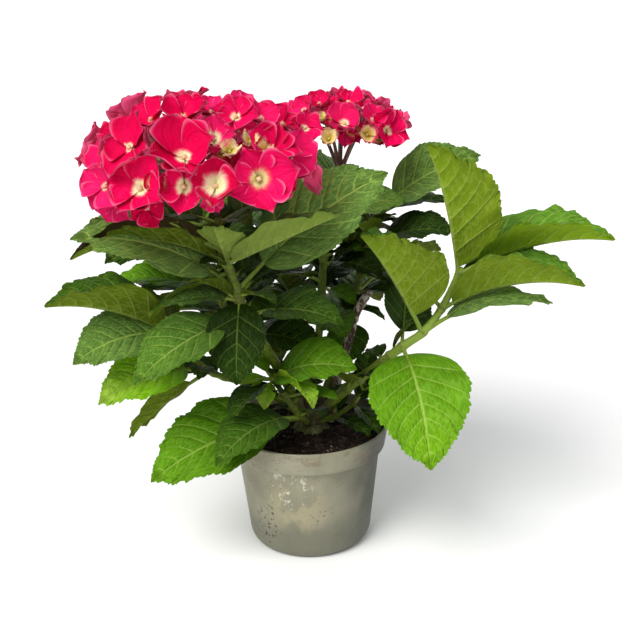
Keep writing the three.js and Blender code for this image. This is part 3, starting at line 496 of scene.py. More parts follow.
# Nine soft-wooded shoots fan out of the crown. Each is green and round, swollen at the nodes
# where its opposite leaves join, freckled with brown lenticels, and turns woody at its foot.
# A leaf is given as in the model: joint, bearing, rise, length, width, roll, arch, fold and
# petiole; the letters in `tints` give the leaves' colours in the same order. The places were
# measured outside this file and then set by hand. Small leaves of the side buds, each with its
# own letter, stand in `inner`; 25 of these 40 rows come from a search outside this file.
LEAF_PETIOLE, LEAF_FOLD = 0.2, 16
BASE_FULLNESS, TIP_FULLNESS = 0.6, 0.85
STEM_TIP_SHARE, TIP_ABOVE_NODE = 0.62, 0.16
SHOOTS = {
    "left_flower": dict(
        way=[
            (-3, -1, 104), (-20, -15, 148), (-44, -39, 204), (-49, -45, 226), (-55, -52, 250),
            (-60, -50, 284),
        ],
        radius=4.3, leafy=2,
        leaves=[
            (2, -146, -18, 100, 50, 22, 0.08), (2, -28, 4, 82, 42, -18, 0.1),
            (2.6, -96, -62, 64, 46, 0, 0.1, 16, 0.05), (3, -159, 25, 130, 68, 30, 0.1, 14),
            (3, 4, 37, 140, 68, -44, 0.05, 12), (2.8, 30, 24, 62, 42, 0, 0.1),
            (4, -167, 7, 112, 56, -12, 0.14, 38, 0.06), (4, -20, 26, 98, 40, 4, 0.0, 38, 0.05),
            (5, 42, 2, 66, 46, -10, 0.1), (5, 166, 0, 62, 40, 10, 0.1),
        ],
        tints="ldkhhdrsddd", grown=[],
        inner=[
            ("d", 1.8, 26, 10, 30, 18, -15, 0.1), ("g", 2.55, -163, 3, 57, 34, 12, 0.08),
            ("m", 3.7, 171, -32, 77, 30, 0, 0.08), ("l", 3, 174, 27, 56, 26, -20, 0.08),
            ("s", 4.4, -148, 30, 48, 34, 0, 0, 36, 0.05), ("s", 4, -102, 50, 46, 40, 0, 0, 12, 0.1),
        ],
    ),
    "rear_flower": dict(
        way=[(2, 5, 105), (5, 11, 130), (12, 28, 174), (16, 46, 217), (26, 58, 263)],
        radius=4, leafy=2,
        leaves=[
            (2, -70, 6, 56, 38, -10, 0.1), (2, -165, 10, 72, 44, 10, 0.12),
            (2.7, -142, 14, 62, 44, 0, 0.1), (2.6, -38, -15, 34, 28, 0, 0.08),
            (3, -44, 2, 62, 40, -10, 0.1), (3, -146, 44, 52, 36, 10, 0.1),
            (4, -14, 12, 62, 30, -40, 0.08), (4, -122, 26, 48, 32, 0, 0.1),
        ],
        tints="mdkbkdgd", grown=[(2.5, 40), (3.4, -60), (4, 80)],
    ),
    "right": dict(
        way=[
            (8, 3, 103), (34, -6, 131), (58, -12, 152), (75, -15, 167), (91, -14, 178),
            (106, -10, 196), (122, -4, 227),
        ],
        radius=4.3, leafy=3,
        leaves=[
            (3, -80, -38, 106, 76, -8, 0.14, 10, 0.1), (3, 80, 40, 62, 44, -30, 0.04),
            (4, -150, 58, 104, 82, 0, 0.03, 46, 0.16), (4, -4, 14, 102, 28, -14, 0.12, 10),
            (5, -14, 13, 110, 72, 2, 0.1, 50, 0.08), (5, 132, 16, 74, 44, 10, 0.1),
            (6, -140, 72, 112, 80, 0, 0.04, 44, 0.05), (6, -6, 14, 120, 64, 0, 0.085, 44, 0.12),
        ],
        tints="ydphpdzq", grown=[(6, 90)],
        inner=[
            ("d", 2.1, 105, 1, 30, 18, 14, 0.1), ("k", 2.4, 28, 47, 35, 21, 37, 0.1),
            ("k", 1.3, -52, 18, 46, 30, -10, 0.1), ("d", 0.9, -70, 34, 40, 24, 12, 0.1),
        ],
    ),
    "low_left": dict(
        way=[(-4, 5, 100), (-36, -2, 130), (-77, -12, 150), (-109, -23, 193)],
        radius=3.3, leafy=2,
        leaves=[
            (2, -150, -4, 92, 54, 25, 0.12), (2, -166, -36, 82, 26, -55, 0.04),
            (3, -156, 22, 100, 68, -5, 0.08, 42, 0.06), (3, -150, -6, 79, 54, 28, 0.1, 14, 0.1),
            (3, 58, 42, 46, 34, 60, 0.05),
        ],
        tints="vomgm", grown=[],
        inner=[
            ("d", 1.7, 152, 10, 33, 20, 27, 0.1), ("k", 2.7, 164, 59, 49, 30, -35, 0.1),
            ("d", 1.7, -164, 22, 35, 21, 10, 0.1), ("d", 1.9, 179, -3, 53, 32, 12, 0.1),
        ],
    ),
    "front": dict(
        way=[(1, -3, 98), (-5, -17, 110), (-17, -25, 132), (-28, -29, 152)],
        radius=3, leafy=1,
        leaves=[
            (1, -160, -14, 128, 68, 32, 0.08), (1, -136, -6, 90, 48, 12, 0.14),
            (3, -24, 14, 72, 54, -22, 0.1, 14, 0.05), (3, -56, -6, 56, 32, 30, 0.14, 30),
            (3, -129, 12, 36, 20, 0, 0.05), (3, 140, 30, 34, 18, 0, 0.05), (2, -34, 10, 50, 22, 0, 0.06),
        ],
        tints="bmbnnnb", grown=[],
        inner=[
            ("d", 2.7, -135, -19, 51, 31, -11, 0.1), ("n", 2.9, -172, -22, 30, 17, 10, 0.1),
            ("v", 2.8, 152, -30, 34, 20, -10, 0.1), ("n", 2.9, -112, -48, 26, 16, 0, 0.1),
            ("v", 2.6, -60, 30, 24, 14, 20, 0.1), ("d", 1.6, 28, 27, 33, 20, 3, 0.1),
            ("m", 2.1, 136, 37, 30, 18, -25, 0.1),
        ],
    ),
    "low_right": dict(
        way=[(6, -2, 98), (20, -5, 104), (36, 1, 112), (47, 8, 124)],
        radius=2.4, leafy=1,
        leaves=[
            (1, -48, -4, 42, 24, 0, 0.1), (2, 18, 28, 40, 24, -20, 0.1), (2, -60, -16, 40, 22, 10, 0.1),
            (3, 70, 52, 34, 22, -20, 0.08), (3, -30, 22, 40, 22, 0, 0.08),
        ],
        tints="kdkdd", grown=[],
        inner=[("d", 2.9, -124, 43, 33, 20, -32, 0.1)],
    ),
    "rear_left": dict(
        way=[(-3, 8, 103), (-30, 26, 145), (-60, 26, 182), (-78, 28, 212), (-92, 36, 240)],
        radius=3.7, leafy=1.5,
        leaves=[
            (1.5, -24, -6, 64, 42, -20, 0.1), (1.5, 176, -14, 56, 40, -10, 0.1),
            (2, 176, 0, 62, 40, 0, 0.1), (2, 58, 14, 68, 44, 0, 0.1), (2.5, -178, 12, 84, 44, 10, 0.1),
            (3, -172, 24, 72, 42, 15, 0.1), (3, -20, 24, 74, 44, 0, 0.1),
        ],
        tints="ddmmbomd", grown=[(1.8, 110), (2.5, -50), (3, 80), (4, 130), (4, 40)],
        inner=[
            ("k", 0.7, -66, 72, 42, 30, -20, 0.08), ("d", 3.3, -9, 56, 55, 26, -20, 0.08),
            ("d", 1.8, 165, -6, 38, 23, -33, 0.1), ("k", 2.7, 166, -20, 55, 34, -9, 0.1),
            ("d", 2.6, 97, 33, 33, 20, -17, 0.1), ("k", 1.8, 124, 5, 56, 34, 31, 0.1),
        ],
    ),
    "rear_right": dict(
        way=[(8, 9, 102), (28, 36, 146), (42, 54, 190), (53, 63, 226), (62, 70, 256)],
        radius=3.8, leafy=1.6,
        leaves=[
            (1.6, -98, -56, 42, 36, 0, 0.08), (1.6, 70, 4, 96, 52, 0, 0.1), (2, -18, -5, 42, 28, 0, 0.1),
            (4, -7, 31, 98, 52, -40, 0.08), (3, -104, 36, 52, 36, -20, 0.06),
            (3, -24, 14, 78, 44, -20, 0.1), (4, 16, 4, 66, 38, -10, 0.1),
        ],
        tints="mmdgbkd", grown=[(2, 30), (2.5, -70), (3, 70), (4, 110)],
        inner=[
            ("k", 2.7, -125, 33, 59, 30, -20, 0.08), ("d", 3.5, 69, -1, 40, 24, -19, 0.1),
            ("k", 3.6, 90, -19, 59, 36, -39, 0.1), ("d", 2.8, 151, -29, 41, 25, 36, 0.1),
            ("k", 1.8, 57, -14, 48, 29, 21, 0.1), ("d", 2.4, -140, 44, 32, 19, 38, 0.1),
            ("k", 1.6, 127, 38, 40, 24, -14, 0.1),
        ],
    ),
    "rear": dict(
        way=[(0, 11, 100), (-4, 44, 138), (-10, 66, 180), (-16, 80, 216), (-20, 88, 246)],
        radius=3.6, leafy=1.5,
        leaves=[(2, -150, -18, 56, 42, 0, 0.1), (2, -38, -20, 46, 36, 0, 0.1), (3, -140, 8, 64, 44, 0, 0.1)],
        tints="kkd",
        grown=[(1.5, 5), (1.9, 95), (2, 20), (2.4, -70), (3, 110), (3.3, 20), (4, 15), (4, 105)],
        inner=[
            ("k", 2.0, -121, 47, 53, 30, 0, 0.08), ("d", 2.1, 31, -5, 51, 31, 3, 0.1),
            ("k", 1.7, -175, -33, 49, 30, -8, 0.1), ("d", 2.3, 122, -3, 53, 32, -33, 0.1),
            ("k", 3.1, 140, 12, 48, 29, 10, 0.1),
        ],
    ),
}
GROWTH = dict(
    seed=89, tries=7, length=104, length_loss=5, rise=-4, rise_gain=10, width_share=0.56, loss_per_try=3,
    bearing_spread=46, rise_spread=34, roll_spread=30, first_spread=0.3, arch=0.1, clear_of_leaf=10,
    clear_of_stem=6.5,
)
SIDE_GROWTH = dict(
    seed=41, tries=12, every=0.34, shortest=30, longest=50, width_share=0.6, arch=0.1, outside=3,
    clear_of_leaf=4.5, clear_of_stem=5,
)


def along(way, u):
    """Point at `u`, counted in points along a way: a uniform Catmull-Rom curve with straight
    run-outs, p1 + (p2 - p0) t/2 + (2 p0 - 5 p1 + 4 p2 - p3) t^2/2 + (3 p1 - p0 - 3 p2 + p3) t^3/2."""
    way, u = np.asarray(way, float), np.asarray(u, float)
    padded = np.vstack([2 * way[0] - way[1], way, 2 * way[-1] - way[-2]])
    i = np.clip(np.floor(u).astype(int), 0, len(way) - 2)
    t = (u - i)[..., None]
    p0, p1, p2, p3 = padded[i], padded[i + 1], padded[i + 2], padded[i + 3]
    return (
        p1 + 0.5 * t * (p2 - p0) + 0.5 * t**2 * (2 * p0 - 5 * p1 + 4 * p2 - p3)
        + 0.5 * t**3 * (3 * p1 - p0 - 3 * p2 + p3)
    )


def unit(vectors):
    """The same directions, one long."""
    return vectors / np.linalg.norm(vectors, axis=-1, keepdims=True)


def leaf_at(way, joint, bearing, rise, length, width, roll, arch, fold=LEAF_FOLD, petiole=LEAF_PETIOLE):
    """A leaf with its own directions: along the chord, to its right, out of its face, and its
    bow, which is square to the chord in the upright plane."""
    b, e, r = np.radians([bearing, rise, roll])
    run = np.array([np.cos(e) * np.cos(b), np.cos(e) * np.sin(b), np.sin(e)])
    level = unit(np.cross(run, [0, 0, 1]))
    bow = np.cross(level, run)
    return dict(
        foot=along(way, min(joint, len(way) - 1 - TIP_ABOVE_NODE)), length=length, width=width, arch=arch,
        fold=np.radians(fold), petiole=petiole, run=run, bow=bow,
        right=level * np.cos(r) + bow * np.sin(r), face=bow * np.cos(r) - level * np.sin(r),
    )


def fullness(v):
    """Share of the blade's full width at v: v^a (1 - v)^b over its greatest value."""
    widest = BASE_FULLNESS / (BASE_FULLNESS + TIP_FULLNESS)
    most = widest**BASE_FULLNESS * (1 - widest) ** TIP_FULLNESS
    return v**BASE_FULLNESS * (1 - v) ** TIP_FULLNESS / most


def rib_point(leaf, t):
    """Point of the midrib at the share t of the length: foot + chord t, bowed by 4 t (1 - t)."""
    t = np.asarray(t, float)[..., None]
    return leaf["foot"] + leaf["length"] * (leaf["run"] * t + leaf["bow"] * leaf["arch"] * 4 * t * (1 - t))


def leaf_samples(leaf):
    """45 points of a leaf: both halves fold up from the bowed midrib."""
    v, q = np.meshgrid(0.2 + 0.1 * np.arange(9), np.arange(-2, 3) / 2, indexing="ij")
    with np.errstate(invalid="ignore"):
        half = 0.5 * leaf["width"] * np.nan_to_num(fullness(np.minimum(v, 1.0)))[..., None]
    q = q[..., None]
    spread = leaf["right"] * np.cos(leaf["fold"]) * q + leaf["face"] * np.sin(leaf["fold"]) * abs(q)
    return (rib_point(leaf, leaf["petiole"] + (1 - leaf["petiole"]) * v) + half * spread).reshape(-1, 3)


def touches(samples, others, clear):
    """Whether any of the samples is nearer than `clear` to any of the others."""
    return bool(len(others)) and ((samples[:, None] - others[None]) ** 2).sum(-1).min() < clear * clear


def seeded(state):
    """Numbers from 0 to 1: each state is 1664525 times the last plus 1013904223, to 32 bits."""
    while True:
        state = (state * 1664525 + 1013904223) % 4294967296
        yield state / 4294967296


def grow_leaves():
    """The model's own rule: leaves set one by one on every shoot, then pairs at the joints in
    `grown`, each turned until it is clear of all others or left out. After them come small
    side leaves of its own, at even steps up every shoot but the bare one to the right, which
    fill the middle, and last the rows of `inner`."""
    rule = GROWTH
    leaves, taken = {}, []
    stems = np.concatenate([
        along(shoot["way"], np.arange(0, len(shoot["way"]) - 0.99, 0.25)) for shoot in SHOOTS.values()
    ])
    for name, shoot in SHOOTS.items():
        leaves[name] = [
            dict(leaf_at(shoot["way"], *row), tint=tint) for row, tint in zip(shoot["leaves"], shoot["tints"])
        ]
        taken += [leaf_samples(leaf) for leaf in leaves[name]]
    random = seeded(rule["seed"])

    def either_way(spread):
        """A seeded number from -spread to spread."""
        return spread * (next(random) * 2 - 1)

    for name, shoot in SHOOTS.items():
        for joint, heading in shoot["grown"]:
            for turn in (0, 180):
                rank = joint - shoot["leafy"]
                for attempt in range(rule["tries"]):
                    share = attempt / (rule["tries"] - 1)
                    spread = rule["first_spread"] + (1 - rule["first_spread"]) * share
                    length = rule["length"] - rule["length_loss"] * rank - rule["loss_per_try"] * attempt
                    bearing = heading + turn + either_way(rule["bearing_spread"] * spread)
                    rise = rule["rise"] + rule["rise_gain"] * rank + either_way(rule["rise_spread"] * spread)
                    roll = either_way(rule["roll_spread"])
                    width = rule["width_share"] * length
                    leaf = leaf_at(shoot["way"], joint, bearing, rise, length, width, roll, rule["arch"])
                    samples = leaf_samples(leaf)
                    if not touches(samples, np.concatenate(taken), rule["clear_of_leaf"]) and not touches(
                            samples, stems, rule["clear_of_stem"]):
                        leaves[name].append(dict(leaf, tint="dmmd"[len(taken) % 4]))
                        taken.append(samples)
                        break
    rule = SIDE_GROWTH
    rng = np.random.default_rng(rule["seed"])
    for name, shoot in SHOOTS.items():
        if name == "right":
            continue
        corner_low, corner_high = (np.array(corner) * 1000 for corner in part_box(f"leaves_{name}"))
        for joint in np.arange(shoot["leafy"] + 0.1, len(shoot["way"]) - 1.1, rule["every"]):
            for attempt in range(rule["tries"]):
                length = rng.uniform(rule["shortest"], rule["longest"]) - attempt
                bearing, rise = rng.uniform(-180, 180), rng.uniform(-25, 45)
                width, roll = rule["width_share"] * length, rng.uniform(-25, 25)
                leaf = leaf_at(shoot["way"], joint, bearing, rise, length, width, roll, rule["arch"])
                samples = leaf_samples(leaf)
                inside = (samples > corner_low - rule["outside"]).all() and (
                    samples < corner_high + rule["outside"]).all()
                clear = not touches(samples, np.concatenate(taken), rule["clear_of_leaf"])
                if inside and clear and not touches(samples[10:], stems, rule["clear_of_stem"]):
                    leaves[name].append(dict(leaf, tint="kd"[attempt % 2]))
                    taken.append(samples)
                    break
    for name, shoot in SHOOTS.items():
        leaves[name] += [
            dict(leaf_at(shoot["way"], *row), tint=tint) for tint, *row in shoot.get("inner", [])
        ]
    return leaves


def end_fans(rows, columns):
    """Fans that close the first and the last ring of a closed grid, each to a point of its own,
    numbered after the grid's."""
    edge = np.arange(columns)
    after, last = np.roll(edge, -1), (rows - 1) * columns
    return np.concatenate([
        np.stack([np.full(columns, rows * columns), after, edge], 1),
        np.stack([np.full(columns, rows * columns + 1), edge + last, after + last], 1),
    ])


def limb(path, radii, sides, woody, pale=0.0, pressed=0.0, seed=0):
    """A round limb: ring i is a circle of radii[i] square to the run at path[i], its directions
    the run crossed with one fixed line; `pressed` roughens it. Its marks are the distance along
    it, the turn round it, how woody it is and how pale, which on the green stems is painted
    light, pale where they are lit."""
    path, radii = np.asarray(path, float), np.asarray(radii, float)
    run = unit(np.gradient(path, axis=0))
    line = np.eye(3)[np.argmin(abs(run.mean(0)))]
    side = unit(np.cross(run, line))
    other = np.cross(run, side)
    turn = np.linspace(0, 2 * np.pi, sides, endpoint=False)
    out = side[:, None] * np.cos(turn)[:, None] + other[:, None] * np.sin(turn)[:, None]
    ring = path[:, None] + out * radii[:, None, None]
    if pressed:
        ring = ring + out * (pressed * ripple(ring, 5.0, seed, 12))[..., None]
    rows = len(path)
    points = np.concatenate([ring.reshape(-1, 3), path[:1], path[-1:]])
    far = np.concatenate([[0], np.cumsum(np.linalg.norm(np.diff(path, axis=0), axis=1))])
    far = np.append(np.repeat(far, sides), [far[0], far[-1]])
    tone, light = (
        np.append(np.repeat(values, sides), values[[0, -1]])
        for values in (np.broadcast_to(woody, rows), np.broadcast_to(pale, rows))
    )
    marks = {
        "limb": np.stack([far + 17 * seed, np.append(np.tile(turn, rows), [0, 0]), tone], 1),
        "shade": np.stack([light, 0 * far, 0 * far], 1),
    }
    return {
        "points": points, "quads": grid_quads(rows, sides, 0, True), "tris": end_fans(rows, sides),
        "marks": marks,
    }


def shoot_limbs(name, shoot, leaves):
    """The shoot's stem, tapering evenly, swollen where leaves join, and a petiole to each leaf,
    broad where it clasps the stem."""
    way, last = shoot["way"], len(shoot["way"]) - 1
    number = list(SHOOTS).index(name)
    u = np.linspace(0, last, 26 * last + 1)
    path = along(way, u)
    radii = shoot["radius"] * (1 + (STEM_TIP_SHARE - 1) * u / last)
    feet = np.array([leaf["foot"] for leaf in leaves])
    near = np.exp(-((path[:, None] - feet[None]) ** 2).sum(-1) / 7.0).max(1)
    radii = radii * (1 + 0.24 * near)
    radii[-3:] *= (0.9, 0.75, 0.5)
    woody = np.clip(1.1 - 1.6 * u, 0, 1) + 0.5 * near
    # painted light: the right stem pale high up where lit, dark lower down in the leaves' shade
    pale = np.clip(1.2 * u - 2.1, 0, 0.9) if name == "right" else 0.0
    parts = [limb(path, radii, 14, np.clip(woody, 0, 1), pale, 0.1, number)]
    for i, leaf in enumerate(leaves):
        size = min(1.0, 0.45 + 0.55 * leaf["length"] / 100)
        t = np.linspace(0, leaf["petiole"] + 0.12, 9)
        drop = 0.8 * size * np.clip(1 - (t - leaf["petiole"]) / 0.12, 0.35, 1)
        ribs = rib_point(leaf, t) - leaf["face"] * drop[:, None]
        girth = size * np.interp(t, [0, 0.03, leaf["petiole"], leaf["petiole"] + 0.12], [2.7, 2.0, 1.65, 0.5])
        parts.append(limb(ribs, girth, 8, 0.0, 1.0 if leaf["tint"] in "yznl" else 0.6, 0.0, i))
    return joined(parts)


def stem_finish():
    """Green rind with lengthwise streaks and brown lenticels, brown and dull where woody; the
    green is dark with painted shade, and paler where the shade mark paints it as lit.
    """
    finish, tree, shader = new_finish("green_stem", 0.48, 0.2)
    place = own_place(tree)
    limb_mark = mark_of(tree, "limb")
    shade = mark_of(tree, "shade")
    turned = node(tree, "ShaderNodeCombineXYZ", {
        0: times(tree, limb_mark[0], 0.06), 1: sums(tree, "COSINE", limb_mark[1]),
        2: sums(tree, "SINE", limb_mark[1]),
    }).outputs[0]
    streak = mottle(tree, turned, 3.5, 4.0)
    # painted light: a dark green as of a stem in the leaves' shade, paler where painted as lit
    green = shades(tree, streak, [
        (0.3, (0.070, 0.105, 0.010)), (0.5, (0.125, 0.185, 0.018)), (0.7, (0.22, 0.29, 0.045)),
    ])
    green = mixed(tree, times(tree, shade[0], 0.8), green, (0.26, 0.38, 0.05))
    wood = shades(tree, mottle(tree, turned, 6, 5.0, 0.7), [
        (0.3, (0.045, 0.03, 0.016)), (0.55, (0.15, 0.105, 0.055)), (0.75, (0.30, 0.24, 0.15)),
    ])
    woody = sums(tree, "ADD", limb_mark[2], sums(tree, "MULTIPLY_ADD", streak, 0.7, -0.35))
    woody = stepped(tree, woody, 0.3, 0.75)
    colour = mixed(tree, woody, green, wood)
    marks = specks(tree, place, 330.0, 0.36, 0.42, 60.0)
    colour = washed(tree, colour, marks, 0.7, (0.12, 0.06, 0.03))
    tree.links.new(colour, shader.inputs["Base Color"])
    tree.links.new(sums(tree, "MULTIPLY_ADD", woody, 0.35, 0.45), shader.inputs["Roughness"])
    bark = mottle(tree, turned, 14, 5.0)
    relieved(tree, shader, sums(tree, "MULTIPLY_ADD", woody, bark, times(tree, marks, 0.6)), 0.0006)
    return finish


LEAVES = grow_leaves()
rind = stem_finish()
for shoot_name, shoot in SHOOTS.items():
    points, quads, tris, marks = shoot_limbs(shoot_name, shoot, LEAVES[shoot_name])
    stem = surface(f"stem_{shoot_name}", points, quads, tris, [rind], marks=marks)
    stands_for(stem, "green_stem", f"bough_{shoot_name}")


# The leaves are broad, pointed and saw-edged, quilted between strong side veins, glossy and
# mostly deep green above, dull olive beneath. Young ones are yellow-green; many are folded up
# along the midrib, so that their undersides show.
VEIN_SWEEP = 0.32
TOOTH_DEPTH = 0.017
LEAF_THICKNESS = 0.5
LEAF_SEED = 7
HALF_COLUMNS = np.array([0, 0.05, 0.17, 0.36, 0.57, 0.79, 1.0])
# shade of the upper side from dark to yellow-green and of the underside from dull to bright,
# in part painted light, the darkest standing for leaves in the plant's shade; how much a
# painted sheen of the sky greys the upper side; how ruffled the edge, and how burnt
LEAF_TINTS_AND_LIGHT = {
    "k": (0.04, 0.10, 0.0, 0.1, 0), "d": (0.22, 0.25, 0.1, 0.2, 0), "m": (0.40, 0.42, 0.1, 0.2, 0),
    "g": (0.54, 0.45, 0.8, 0.1, 0), "h": (0.66, 0.60, 1.0, 0.1, 0), "l": (0.56, 0.60, 0.4, 0.1, 0),
    "b": (0.62, 0.65, 0.0, 0.2, 0), "y": (0.78, 0.80, 0.0, 0.2, 0), "v": (0.92, 0.90, 0.0, 0.2, 0),
    "n": (1.0, 1.0, 0.0, 0.5, 0), "o": (0.30, 0.48, 0.2, 0.2, 0), "p": (0.55, 0.62, 0.3, 0.8, 0),
    "q": (0.68, 0.92, 0.3, 0.8, 0), "z": (0.44, 0.66, 0.3, 1.0, 0), "r": (0.10, 0.40, 0.0, 0.2, 1),
    "s": (0.42, 0.74, 0.8, 0.2, 0),
}


def sweep_at(s):
    """How far a side vein has run forward at the margin, from 0 at both ends to 1: w - w^4 over
    its greatest value, where w is 1 - s."""
    return ((1 - s) - (1 - s) ** 4) / 0.4725


def on_shell(values, top, at_base, at_tip):
    """Values of the upper side's grid carried to every point of its shell."""
    values = np.broadcast_to(values, top.shape[:2])
    return np.concatenate([values.ravel(), values[:, 1:-1].ravel(), [at_base, at_tip]])


def thin_shell(top, under, base, tip, turned=False):
    """A closed shell: the grid of its upper side, the grid of its underside without the margins
    that both share, and a point at either end, to which fans close them. `turned` faces it the
    other way. Returns points, quads and tris, those of the upper side first."""
    rows, columns = top.shape[:2]
    points = np.concatenate([top.reshape(-1, 3), under.reshape(-1, 3), base[None], tip[None]])
    upper = np.arange(rows * columns).reshape(rows, columns)
    lower = upper.copy()
    lower[:, 1:-1] = upper.size + np.arange(under.shape[0] * under.shape[1]).reshape(rows, -1)
    first, last = (np.full(columns - 1, len(points) - back) for back in (2, 1))
    near, far = (slice(None, -1), slice(1, None)) if turned else (slice(1, None), slice(None, -1))
    quads, tris = [], []
    for skin in (upper, lower):
        here, there = skin[:-1], skin[1:]
        squares = np.stack([here[:, far], here[:, near], there[:, near], there[:, far]], -1).reshape(-1, 4)
        quads.append(np.roll(squares, -1, axis=1) if turned else squares)
        tris.append(np.concatenate([
            np.stack([first, skin[0][near], skin[0][far]], 1),
            np.stack([skin[-1][far], skin[-1][near], last], 1),
        ]))
    quads[1], tris[1] = quads[1][:, ::-1], tris[1][:, ::-1]
    return points, np.concatenate(quads), np.concatenate(tris)


def blade(leaf, rng):
    """A leaf's blade as a thin closed shell. Its grid runs s along and q across; a row sweeps
    forward with q as the side veins do, v = s + sweep |q|^1.08 f(s). The half width follows the
    fullness at v, pinched to a long point, teeth step the margin out every fourth row, the
    halves fold up and the margin waves. Between side veins, at whole numbers of s times their
    count, the blade bulges, and it dips along them and the midrib. The underside is the same,
    a thickness lower, with a ridge under the midrib."""
    length, width = leaf["length"], leaf["width"]
    # grey is how much painted sheen of the sky greys the upper side
    shade, dull, grey, ruffle, burn = LEAF_TINTS_AND_LIGHT[leaf["tint"]]
    veins = 8 if length > 75 else 6 if length > 42 else 4
    rows = 12 * veins
    size = min(1.2, length / 100)
    k = np.arange(1, rows)
    even = np.linspace(0, 1, 400)
    s = np.interp(k / rows, even + 0.5 * VEIN_SWEEP * sweep_at(even), even)[:, None]
    q = np.concatenate([-HALF_COLUMNS[:0:-1], HALF_COLUMNS])[None]
    a = abs(q)
    margin = (a == 1.0)
    v = s + VEIN_SWEEP * a**1.08 * sweep_at(s)
    ends_off = np.minimum(1, 6 * s * (1 - s))
    half = 0.5 * width * fullness(v) * (1 - 0.34 * np.exp(-(1 - v) / 0.07))
    tooth = np.array([0.0, 0.6, 0.92, 1.0])[k % 4]
    teeth = rng.uniform(0.6, 1.35, (rows // 4, 2))[k // 4]
    depth = TOOTH_DEPTH * (1 + 0.5 * ruffle) * width * ends_off * (
        tooth[:, None] * np.where(q < 0, teeth[:, :1], teeth[:, 1:]))
    scallop = (0.006 + 0.018 * ruffle) * width * a**4 * ends_off * -np.cos(2 * np.pi * s * veins)
    lateral = q * half + np.sign(q) * (scallop + margin * (depth - 0.4 * TOOTH_DEPTH * width * ends_off))
    t = leaf["petiole"] + (1 - leaf["petiole"]) * v + 0.6 * depth * margin / length
    beside = abs(s * veins - np.round(s * veins))
    bulge = (1 - np.exp(-(beside / 0.17) ** 2)) * (0.75 + 0.25 * np.sin(np.pi * s * veins) ** 2)
    quilt = 0.75 + 0.25 * np.sin(np.pi * (5 * a + 2 * s * veins)) ** 2
    panel = bulge * np.minimum(1, a / 0.15) * (1 - a**3) * quilt
    phase = rng.uniform(0, 2 * np.pi, 6)
    wave = np.where(
        q < 0, np.sin(2 * np.pi * 2.2 * s + phase[0]) + 0.5 * np.sin(2 * np.pi * 4.6 * s + phase[1]),
        np.sin(2 * np.pi * 2.4 * s + phase[2]) + 0.5 * np.sin(2 * np.pi * 5.1 * s + phase[3]),
    )
    frill = np.sin(2 * np.pi * s * veins + np.where(q < 0, phase[4], phase[5]))
    lift = (
        half * a * np.sin(leaf["fold"]) * (1.2 - 0.2 * a)
        + 0.018 * length * a**2 * wave * ends_off
        + (0.003 + 0.012 * ruffle) * length * a**3 * frill * ends_off
        + 1.25 * size * panel
        - 0.7 * size * np.exp(-(lateral / 1.4) ** 2)
        - 0.06 * length * np.clip(v - 0.72, 0, 1) ** 1.5
    )
    middle = rib_point(leaf, t)
    across = leaf["right"] * np.cos(leaf["fold"])
    top = middle + across * lateral[..., None] + leaf["face"] * lift[..., None]
    below = size * (LEAF_THICKNESS + 1.5 * np.exp(-(lateral / 1.7) ** 2) * (1 - 0.75 * s))
    under = (top - leaf["face"] * below[..., None])[:, 1:-1]
    base, tip = rib_point(leaf, leaf["petiole"]), rib_point(leaf, 1.0) - leaf["face"] * 0.008 * length
    points, quads, tris = thin_shell(top, under, base, tip)
    s_all, q_all = on_shell(s, top, 0, 1), on_shell(q, top, 0, 0)
    tint = np.array([shade + rng.uniform(-0.05, 0.05), dull + rng.uniform(-0.05, 0.05), grey])
    return {
        "points": points, "quads": quads, "tris": tris,
        "marks": {
            "leaf": np.stack([s_all * veins, q_all, s_all], 1),
            "tint": np.broadcast_to(tint, (len(points), 3)),
            "burnt": np.broadcast_to([burn, 0.0, 0.0], (len(points), 3)),
        },
        "place": np.stack([q_all, s_all], 1),
    }


def flat_cells(parts):
    """Flat map of a piece of many thin shells: a square of equal cells, one for the upper and
    one for the under side of each, filled by q across and s along. Returns the place of every
    corner, quads of all parts first, and the side of every face."""
    cells = math.ceil(math.sqrt(2 * len(parts)))
    squares, corners, side_quads, side_tris = [], [], [], []
    for i, part in enumerate(parts):
        for kind, store, sides in (("quads", squares, side_quads), ("tris", corners, side_tris)):
            faces = part[kind]
            side = (np.arange(len(faces)) >= len(faces) // 2).astype(int)
            cell = 2 * i + side[:, None]
            place = part["place"][faces]
            inside = np.stack([(place[..., 0] + 1) / 2, place[..., 1]], -1) * 0.92 + 0.04
            store.append((inside + np.stack([cell % cells, cell // cells], -1)) / cells)
            sides.append(side)
    flat = np.concatenate([np.concatenate(squares).reshape(-1, 2), np.concatenate(corners).reshape(-1, 2)])
    return flat, np.concatenate(side_quads + side_tris)


